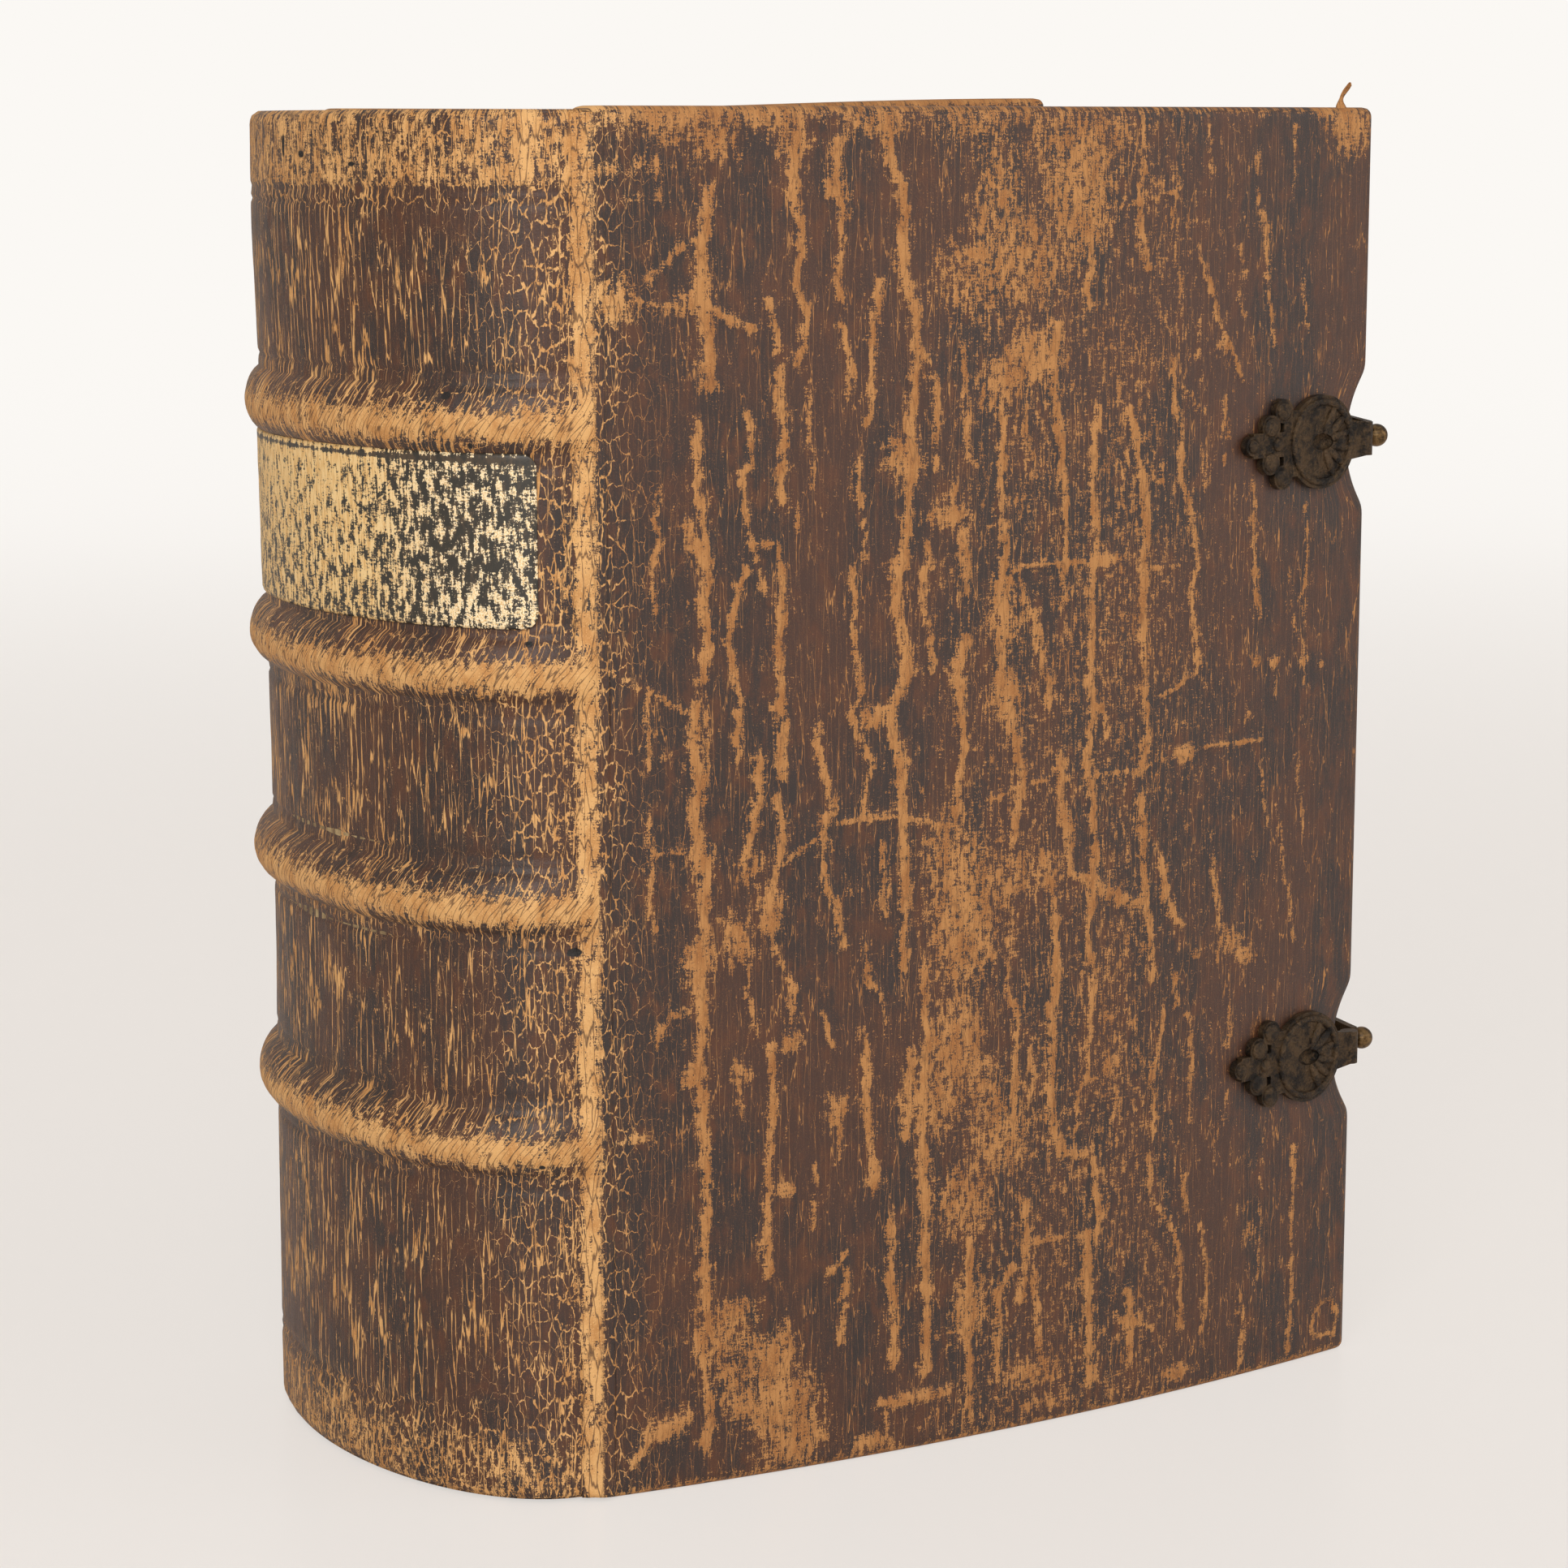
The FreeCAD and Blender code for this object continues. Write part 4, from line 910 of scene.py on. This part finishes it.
    rough = n.total(n.math("MULTIPLY", bare, 0.26), n.around_half(fine, 0.3), 0.46)
    n.link(rough, n.shader.inputs["Roughness"])
    grain = n.cells(n.scaled(uv, 260, 260), 1.0)
    surface = n.bump(n.total(n.math("MULTIPLY", grain, 0.5), fine), 0.00009, 0.55)
    sunken = n.math("SUBTRACT", n.math("MULTIPLY", bare, 0.3), solid)
    surface = n.bump(n.math("MULTIPLY", sunken, -1.0), 0.00012, 0.35, surface)
    n.link(surface, n.shader.inputs["Normal"])
    return n.material


LEATHER = hide_leather()


def finish_piece(piece, material, slot, *nodes):
    """Give a piece its material and hide the model's nodes that it stands for. The slot is not used."""
    piece.data.materials.append(material)
    if nodes:
        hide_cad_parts(*nodes)
    return piece


# Covers
front = make_cover(-1, "front_hide", "front_cover", 0.62)
finish_piece(front, LEATHER, "leather", "front_leather")
back = make_cover(1, "back_hide", "back_cover", 0.8)
finish_piece(back, LEATHER, "leather", "back_leather")


# Label: its place on the hide map
LABEL_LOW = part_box("title_label")[0][2] / MM
LABEL_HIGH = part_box("title_label")[1][2] / MM
LABEL_START = -float(np.interp(math.asin((JOINT_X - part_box("title_label")[1][0] / MM) / SPINE_BULGE),
                               SPINE_ANGLE, SPINE_LENGTH))
LABEL_END = -SPINE_AROUND - LABEL_START
LABEL_CORNER = 2.2
LABEL_THICK = 0.5


def label_shadow(u, v):
    """1 under the label and 0 away from it."""
    return step(LABEL_START + 0.5 - u, 0, 1) * step(u - LABEL_END + 0.5, 0, 1) \
        * step(v - LABEL_LOW + 0.5, 0, 1) * step(LABEL_HIGH + 0.5 - v, 0, 1)


# Spine: how far its line leans out of the plain curve at some heights
LEAN_LEVELS = (0, 40, 70, 104, 137, 163, 183, 200)
LEAN = (-0.2, -0.5, -0.9, -0.9, -0.2, 0.35, 1.2, 1.1)


def spine_point(u, v, lift):
    """A point of the spine's hide, lift millimetres above its plain surface."""
    angle = np.interp(-u, SPINE_LENGTH, SPINE_ANGLE)
    sine = np.sin(angle)
    lean = np.interp(v, LEAN_LEVELS, LEAN)
    bulge = SPINE_BULGE + lean * sine
    crown = BAND_REACH - SPINE_BULGE - lean * sine
    band = band_rise(v) * (1.0 + (crown - 1.0) * sine ** 0.6)
    out_x = -np.sin(angle) / SPINE_BULGE
    out_y = -np.cos(angle) / SPINE_HALF
    size = np.hypot(out_x, out_y)
    rise = band + lift
    x = JOINT_X - bulge * sine + out_x / size * rise
    y = -SPINE_HALF * np.cos(angle) + out_y / size * rise
    return x, y


def make_spine():
    """The hide over the spine with its bands, tooled lines and turned caps."""
    columns = RATIO * 46
    rows = RATIO * 78
    u = np.linspace(-JOINT_GAP, -SPINE_AROUND + JOINT_GAP, columns + 1)
    v = np.linspace(CAP_DROP, HEIGHT - CAP_DROP, rows + 1)
    grid_u, grid_v = np.meshgrid(u, v)
    lift = hide_relief(grid_u.ravel(), grid_v.ravel()).reshape(grid_u.shape)
    lift = lift * (1 - 0.8 * label_shadow(grid_u, grid_v)) - 0.28 * tooled_lines(grid_v)
    end = np.minimum(grid_v - CAP_DROP, HEIGHT - CAP_DROP - grid_v)
    lift = lift - 1.3 * (1 - np.sqrt(np.clip(1 - np.clip(1 - end / 2.0, 0, 1) ** 2, 0, 1)))
    x, y = spine_point(grid_u, grid_v, lift - 0.15)
    shell = Shell()
    outer = [[shell.point(x[j, i], y[j, i], grid_v[j, i]) for i in range(columns + 1)]
             for j in range(rows + 1)]
    shell.grid(outer, True)
    uv_u = list(grid_u.ravel())
    uv_v = list(grid_v.ravel())
    inner_u = u[::RATIO]
    inner_v = v[::RATIO]
    inner = []
    for level in inner_v:
        line = []
        for place in inner_u:
            angle = np.interp(-place, SPINE_LENGTH, SPINE_ANGLE)
            line.append(shell.point(float(JOINT_X - (SPINE_BULGE - HIDE) * np.sin(angle)),
                                    float(-(SPINE_HALF - HIDE) * np.cos(angle)), float(level)))
            uv_u.append(place)
            uv_v.append(level)
        inner.append(line)
    shell.grid(inner)
    shell.stitch(outer[0], inner[0])
    shell.stitch(outer[-1], inner[-1], True)
    shell.stitch([line[0] for line in outer], [line[0] for line in inner], True)
    shell.stitch([line[-1] for line in outer], [line[-1] for line in inner])
    piece = mesh_object("spine_hide", shell.points, shell.faces)
    set_hide_data(piece, np.array(uv_u), np.array(uv_v))
    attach(piece, "book_block")
    return piece


spine = make_spine()
finish_piece(spine, LEATHER, "leather", "spine_leather")


def ribbon(name, outer, inner):
    """A thin closed sheet between two grids of points that have the same shape. Give back the piece."""
    shell = Shell()
    shell.points = [tuple(point) for grid in (outer, inner) for line in grid for point in line]
    rows, columns = len(outer), len(outer[0])
    front_face = [[row * columns + column for column in range(columns)] for row in range(rows)]
    back_face = [[rows * columns + number for number in line] for line in front_face]
    shell.grid(front_face)
    shell.grid(back_face, True)
    for k, flip in ((0, True), (rows - 1, False)):
        shell.grid([front_face[k], back_face[k]], flip)
    for k, flip in ((0, False), (columns - 1, True)):
        shell.grid([[line[k] for line in front_face], [line[k] for line in back_face]], flip)
    return mesh_object(name, shell.points, shell.faces)


# Joints: how far each strip of hide reaches over the spine and over the cover, and its thickness
STRIP_SPINE = 2.6
STRIP_COVER = 2.4
STRIP_THICK = 0.55


def make_joint_strip(side, name):
    """The narrow strip of hide that bridges a joint."""
    across = np.linspace(-STRIP_SPINE, STRIP_COVER, 15)
    levels = np.linspace(0.7, HEIGHT - 0.9, 320)
    grid_w, grid_v = np.meshgrid(across, levels)
    u = grid_w if side < 0 else -SPINE_AROUND - grid_w
    ridge = 0.42 * np.exp(-(grid_w / 1.5) ** 2) + 0.3 * (layered(grid_w / 0.9, grid_v / 9, 81) - 0.5)
    edge = np.minimum(grid_w + STRIP_SPINE, STRIP_COVER - grid_w)
    sink = 0.35 * (1 - step(edge, 0, 0.9))
    layers = []
    for thick in (0.0, STRIP_THICK):
        spine_u = np.minimum(grid_w, -0.1)
        spine_x, spine_y = spine_point(spine_u, grid_v, 0.12 + ridge - sink - thick)
        cover_x = JOINT_X + np.maximum(grid_w, 0.1)
        cover_y = -cover_face(cover_x, sink + thick - ridge)
        share = step(grid_w, -1.4, 0.8)
        x = np.where(grid_w < 0, spine_x * (1 - share) + (JOINT_X + grid_w) * share, cover_x)
        y = spine_y * (1 - share) + cover_y * share
        layers.append(np.stack((x, -side * y, grid_v), 2))
    strip = ribbon(name, *layers)
    if side > 0:
        strip.data.flip_normals()
    set_hide_data(strip, np.tile(u.ravel(), 2), np.tile(grid_v.ravel(), 2))
    finish_piece(strip, LEATHER, "leather")
    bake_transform(strip)


make_joint_strip(-1, "front_joint_strip")
make_joint_strip(1, "back_joint_strip")


# Label
def label_skin():
    """Thin dark skin whose gilding has flaked: cream where it is left, dark where it is gone."""
    n = Nodes("flaked_label")
    uv = n.add("ShaderNodeUVMap", uv_map="hide").outputs["UV"]
    wear = n.attribute("wear")
    blotch = n.noise(n.scaled(uv, 75, 42), detail=6, rough=0.62)
    dash = n.noise(n.scaled(uv, 95, 330), detail=3)
    hair = n.noise(n.scaled(uv, 250, 30), detail=3)
    fine = n.noise(n.scaled(uv, 480, 420), detail=2)
    level = n.total(wear, n.around_half(blotch, 1.5), n.around_half(dash, 0.7),
                    n.around_half(hair, 0.7), n.around_half(fine, 0.4))
    left = n.smooth(level, 0.47, 0.54)
    dark = n.mix(n.smooth(blotch, 0.4, 0.6), linear("2f2c25"), linear("4a3d2e"))
    cream = n.mix(n.smooth(hair, 0.4, 0.6), linear("d8ad6c"), linear("e8c88e"))
    cream = n.mix(n.math("MULTIPLY", n.attribute("pale"), n.smooth(fine, 0.4, 0.6)), cream, linear("f3e3c0"))
    n.link(n.mix(left, dark, cream), n.shader.inputs["Base Color"])
    n.link(n.total(n.math("MULTIPLY", left, 0.2), 0.42), n.shader.inputs["Roughness"])
    n.link(n.bump(n.total(left, fine), 0.00006, 0.5), n.shader.inputs["Normal"])
    return n.material


def make_label():
    """The title skin on the second panel: worn, without any text."""
    length = LABEL_START - LABEL_END
    tall = LABEL_HIGH - LABEL_LOW
    along, level = np.meshgrid(np.linspace(0, length, 150), np.linspace(0, tall, 56))
    core_s = np.clip(along, LABEL_CORNER, length - LABEL_CORNER)
    core_z = np.clip(level, LABEL_CORNER, tall - LABEL_CORNER)
    away = np.hypot(along - core_s, level - core_z)
    pull = np.where(away > LABEL_CORNER, LABEL_CORNER / np.maximum(away, 1e-6), 1)
    along = core_s + (along - core_s) * pull
    level = core_z + (level - core_z) * pull
    u = LABEL_START - along
    v = LABEL_LOW + level
    edge = np.minimum.reduce((along, length - along, level, tall - level))
    lift = 0.36 + 0.12 * (layered(u / 3, v / 3, 91) - 0.5) - 0.16 * (1 - step(edge, 0, 0.5))
    layers = []
    for thick in (0.0, LABEL_THICK):
        x, y = spine_point(u, v, lift - thick)
        layers.append(np.stack((x, y, v), 2))
    piece = ribbon("flaked_label", *layers)
    piece.data.flip_normals()
    u = np.tile(u.ravel(), 2)
    v = np.tile(v.ravel(), 2)
    set_hide_data(piece, u, v)
    share = (LABEL_START - u) / length
    high = (v - LABEL_LOW) / tall
    worn = 0.40 + 0.26 * step(share, 0.12, 0.42) * (0.45 + 0.55 * high)
    worn = worn + 0.1 * step(-high, -0.3, -0.1) * step(-share, -0.3, -0.05)
    worn = worn + 0.2 * (layered(u / 6, v / 5, 95) - 0.5)
    rim = np.minimum(high * tall, (1 - high) * tall)
    worn = worn - 0.5 * np.exp(-((rim - 0.9) / 0.35) ** 2) * (high > 0.5)
    piece.data.attributes["wear"].data.foreach_set("value", worn.astype(np.float32))
    pale = step(-share, -0.34, -0.1)
    piece.data.attributes["pale"].data.foreach_set("value", pale.astype(np.float32))
    finish_piece(piece, label_skin(), "label_skin", "title_label")
    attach(piece, "book_block")


make_label()


def make_curl():
    """A torn scrap of hide that curls up from the top corner of the front cover."""
    place = on_front(1660, 150)[0]
    along, across = np.meshgrid(np.linspace(0, 1, 22), np.linspace(-1, 1, 7), indexing="ij")
    half = 1.0 * (1 - 0.65 * along) * (0.9 + 0.3 * np.sin(9 * along))
    x = JOINT_X + place + across * half + 1.1 * along ** 2
    z = HEIGHT - 0.8 + 4.6 * along - 0.5 * across ** 2 * along
    base = -float(cover_face(JOINT_X + place, 0.0))
    layers = []
    for thick in (0.0, 0.35):
        y = base + 0.9 + thick + 0.8 * np.sin(3.4 * along) + 0.15 * across
        layers.append(np.stack((x, y, z), 2))
    piece = ribbon("corner_curl", *layers)
    u = np.tile((place + across * half).ravel(), 2)
    v = np.tile((HEIGHT - 6 + 5 * along).ravel(), 2)
    set_hide_data(piece, u, v)
    piece.data.attributes["wear"].data.foreach_set("value", np.full(len(u), 0.85, dtype=np.float32))
    finish_piece(piece, LEATHER, "leather")
    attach(piece, "front_cover")


make_curl()

# Materials of the model's own solids, which have no hide map
def solid_coordinates(n):
    """Position in metres, in the model's frame."""
    return n.add("ShaderNodeTexCoord").outputs["Object"]


def page_edges():
    """Toned page edges: thin lines that run along the leaves."""
    n = Nodes("page_edges")
    place = solid_coordinates(n)
    leaves = n.noise(n.scaled(place, 6, 4200, 6), detail=3, flat=False)
    gatherings = n.noise(n.scaled(place, 3, 520, 3), detail=2, flat=False)
    stains = n.noise(n.scaled(place, 34, 60, 34), detail=5, flat=False)
    shade = n.total(n.around_half(leaves, 1.5), n.around_half(gatherings, 1.0),
                    n.around_half(stains, 0.9), 0.5)
    colour = n.mix(n.smooth(shade, 0.15, 0.85), linear("7d6543"), linear("c9b084"))
    colour = n.mix(n.smooth(stains, 0.56, 0.72), colour, linear("8a6c45"))
    n.link(colour, n.shader.inputs["Base Color"])
    n.shader.inputs["Roughness"].default_value = 0.85
    n.link(n.bump(n.total(leaves, gatherings), 0.00025, 0.8), n.shader.inputs["Normal"])
    return n.material


def plain_stuff(name, low, high, scale, rough, depth, stretch=(1, 1, 1), metal=0.0):
    """A material of two mixed colours with noise of a size and depth in metres."""
    n = Nodes(name)
    place = n.scaled(solid_coordinates(n), *stretch)
    spots = n.noise(place, scale=scale, detail=6, rough=0.65, flat=False)
    fine = n.noise(place, scale=scale * 6, detail=3, flat=False)
    mixed = n.total(n.around_half(spots, 1.4), n.around_half(fine, 0.7), 0.5)
    n.link(n.mix(n.smooth(mixed, 0.3, 0.7), linear(low), linear(high)), n.shader.inputs["Base Color"])
    n.link(n.total(n.around_half(fine, 0.3), rough), n.shader.inputs["Roughness"])
    n.shader.inputs["Metallic"].default_value = metal
    n.link(n.bump(n.total(spots, fine), depth, 0.7), n.shader.inputs["Normal"])
    return n.material


def wound_thread():
    """Endband thread wound round its core, in two faded colours, with painted shade in the grooves between
    the wraps.
    """
    n = Nodes("wound_thread")
    place = solid_coordinates(n)
    wave = n.add("ShaderNodeTexWave", bands_direction="Y")
    n.link(place, wave.inputs["Vector"])
    wave.inputs["Scale"].default_value = 420
    wave.inputs["Distortion"].default_value = 0.6
    stripes = n.noise(n.scaled(place, 40, 420, 40), detail=1, flat=False)
    colour = n.mix(n.smooth(stripes, 0.48, 0.52), linear("a08a5e"), linear("6b4a30"))
    # Partly the thread's own darker tone and partly painted shade: the mix with 3a2c1e darkens the crests by
    # half and darkens the grooves between the wraps, where the bump is low, fully
    colour = n.mix(n.math("MULTIPLY", wave.outputs["Fac"], 0.5), linear("3a2c1e"), colour)
    n.link(colour, n.shader.inputs["Base Color"])
    n.shader.inputs["Roughness"].default_value = 0.9
    n.link(n.bump(wave.outputs["Fac"], 0.0003, 0.8), n.shader.inputs["Normal"])
    return n.material


def give(material, *nodes):
    """Give a material to solids of the model."""
    for node in nodes:
        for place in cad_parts[node].material_slots:
            place.material = material


PAPER = plain_stuff("laid_paper", "a58d62", "c9b68c", 60, 0.85, 0.00008)
BOARD = plain_stuff("old_oak", "4a3220", "7a573a", 90, 0.7, 0.0002, (1, 1, 0.12))
CORD = plain_stuff("hemp_cord", "6d5638", "a68c60", 500, 0.9, 0.0003)
LINING = plain_stuff("glued_lining", "7a6647", "b09a70", 120, 0.85, 0.0001)
BRASS = plain_stuff("dark_brass", "17120d", "4d3b26", 420, 0.48, 0.0005, metal=0.6)
KNOB_BRASS = plain_stuff("rubbed_brass", "33271a", "7d6340", 420, 0.38, 0.0001, metal=0.85)
give(page_edges(), "text_block")
give(PAPER, "front_pastedown", "back_pastedown")
give(BOARD, "front_board", "back_board")
give(CORD, "sewing_cord_1", "sewing_cord_2", "sewing_cord_3", "sewing_cord_4")
give(LINING, "spine_lining_1", "spine_lining_2", "spine_lining_3", "spine_lining_4", "spine_lining_5")
give(wound_thread(), "head_endband", "tail_endband")
give(BRASS, "upper_catch", "lower_catch", "upper_anchor", "lower_anchor", "upper_clasp", "lower_clasp",
     "catch_nails", "anchor_nails", "upper_hinge_pin", "lower_hinge_pin")
give(KNOB_BRASS, "upper_knob", "lower_knob")

# Camera, light and floor
make_camera()
scene = bpy.context.scene
scene.view_settings.view_transform = "Standard"


def make_world():
    """An even pale world, which the camera sees as the photograph's background."""
    world = bpy.data.worlds.new("studio")
    world.use_nodes = True
    scene.world = world
    tree = world.node_tree
    background = tree.nodes["Background"]
    background.inputs["Color"].default_value = (1.0, 0.99, 0.975, 1)
    background.inputs["Strength"].default_value = 0.62
    pale = tree.nodes.new("ShaderNodeBackground")
    pale.inputs["Color"].default_value = linear("faf7f2")
    mix = tree.nodes.new("ShaderNodeMixShader")
    path = tree.nodes.new("ShaderNodeLightPath")
    tree.links.new(path.outputs["Is Camera Ray"], mix.inputs["Fac"])
    tree.links.new(background.outputs[0], mix.inputs[1])
    tree.links.new(pale.outputs[0], mix.inputs[2])
    tree.links.new(mix.outputs[0], tree.nodes["World Output"].inputs["Surface"])


def area_lamp(name, spot, target, size, power):
    """A soft square lamp that points at a target."""
    data = bpy.data.lights.new(name, "AREA")
    data.size = size
    data.energy = power
    lamp = bpy.data.objects.new(name, data)
    lamp.location = spot
    lamp.rotation_euler = (Vector(target) - Vector(spot)).to_track_quat("-Z", "Y").to_euler()
    scene.collection.objects.link(lamp)


def make_floor():
    """A pale table that curves up into a backdrop all round, far from the book."""
    flat_reach = 1.3
    bend = 0.8
    rings = [(0.0, 0.0), (0.4, 0.0), (0.8, 0.0), (flat_reach, 0.0)]
    for k in range(1, 13):
        angle = math.pi / 2 * k / 12
        rings.append((flat_reach + bend * math.sin(angle), bend * (1 - math.cos(angle))))
    rings.append((flat_reach + bend, 3.0))
    sectors = 64
    points = []
    for reach, height in rings:
        for k in range(sectors):
            angle = 2 * math.pi * k / sectors
            points.append((reach * math.cos(angle), reach * math.sin(angle), height))
    faces = []
    for ring in range(len(rings) - 1):
        for k in range(sectors):
            low = ring * sectors
            following = (k + 1) % sectors
            faces.append((low + k, low + following, low + sectors + following, low + sectors + k))
    data = bpy.data.meshes.new("floor")
    data.from_pydata(points, [], faces)
    data.polygons.foreach_set("use_smooth", [True] * len(faces))
    floor = bpy.data.objects.new("floor", data)
    scene.collection.objects.link(floor)
    n = Nodes("pale_floor")
    n.shader.inputs["Base Color"].default_value = linear("ece6e1")
    n.shader.inputs["Roughness"].default_value = 0.3
    away = n.add("ShaderNodeVectorMath", operation="LENGTH")
    n.link(solid_coordinates(n), away.inputs[0])
    glow = n.add("ShaderNodeEmission")
    # Painted shading: the glow that the camera sees is darker, f1ece7, near the book and lighter, fbf8f4, far
    # from it, as light falls off over the floor and backdrop
    far = n.smooth(away.outputs["Value"], 0.2, 1.6)
    n.link(n.mix(far, linear("f1ece7"), linear("fbf8f4")), glow.inputs["Color"])
    share = n.add("ShaderNodeMixShader")
    path = n.add("ShaderNodeLightPath")
    # Near the book a part of the light stays diffuse, so that the shadow shows
    shown = n.math("ADD", 0.7, n.math("MULTIPLY", n.smooth(away.outputs["Value"], 0.3, 1.7), 0.3))
    n.link(n.math("MULTIPLY", path.outputs["Is Camera Ray"], shown), share.inputs["Fac"])
    n.link(n.shader.outputs["BSDF"], share.inputs[1])
    n.link(glow.outputs["Emission"], share.inputs[2])
    n.link(share.outputs["Shader"], n.tree.nodes["Material Output"].inputs["Surface"])
    data.materials.append(n.material)


make_world()
make_floor()
area_lamp("key", (-0.9, -1.1, 0.9), (0, 0, 0.1), 0.9, 16)
area_lamp("fill", (0.9, -1.1, 0.7), (0, 0, 0.1), 1.2, 6)
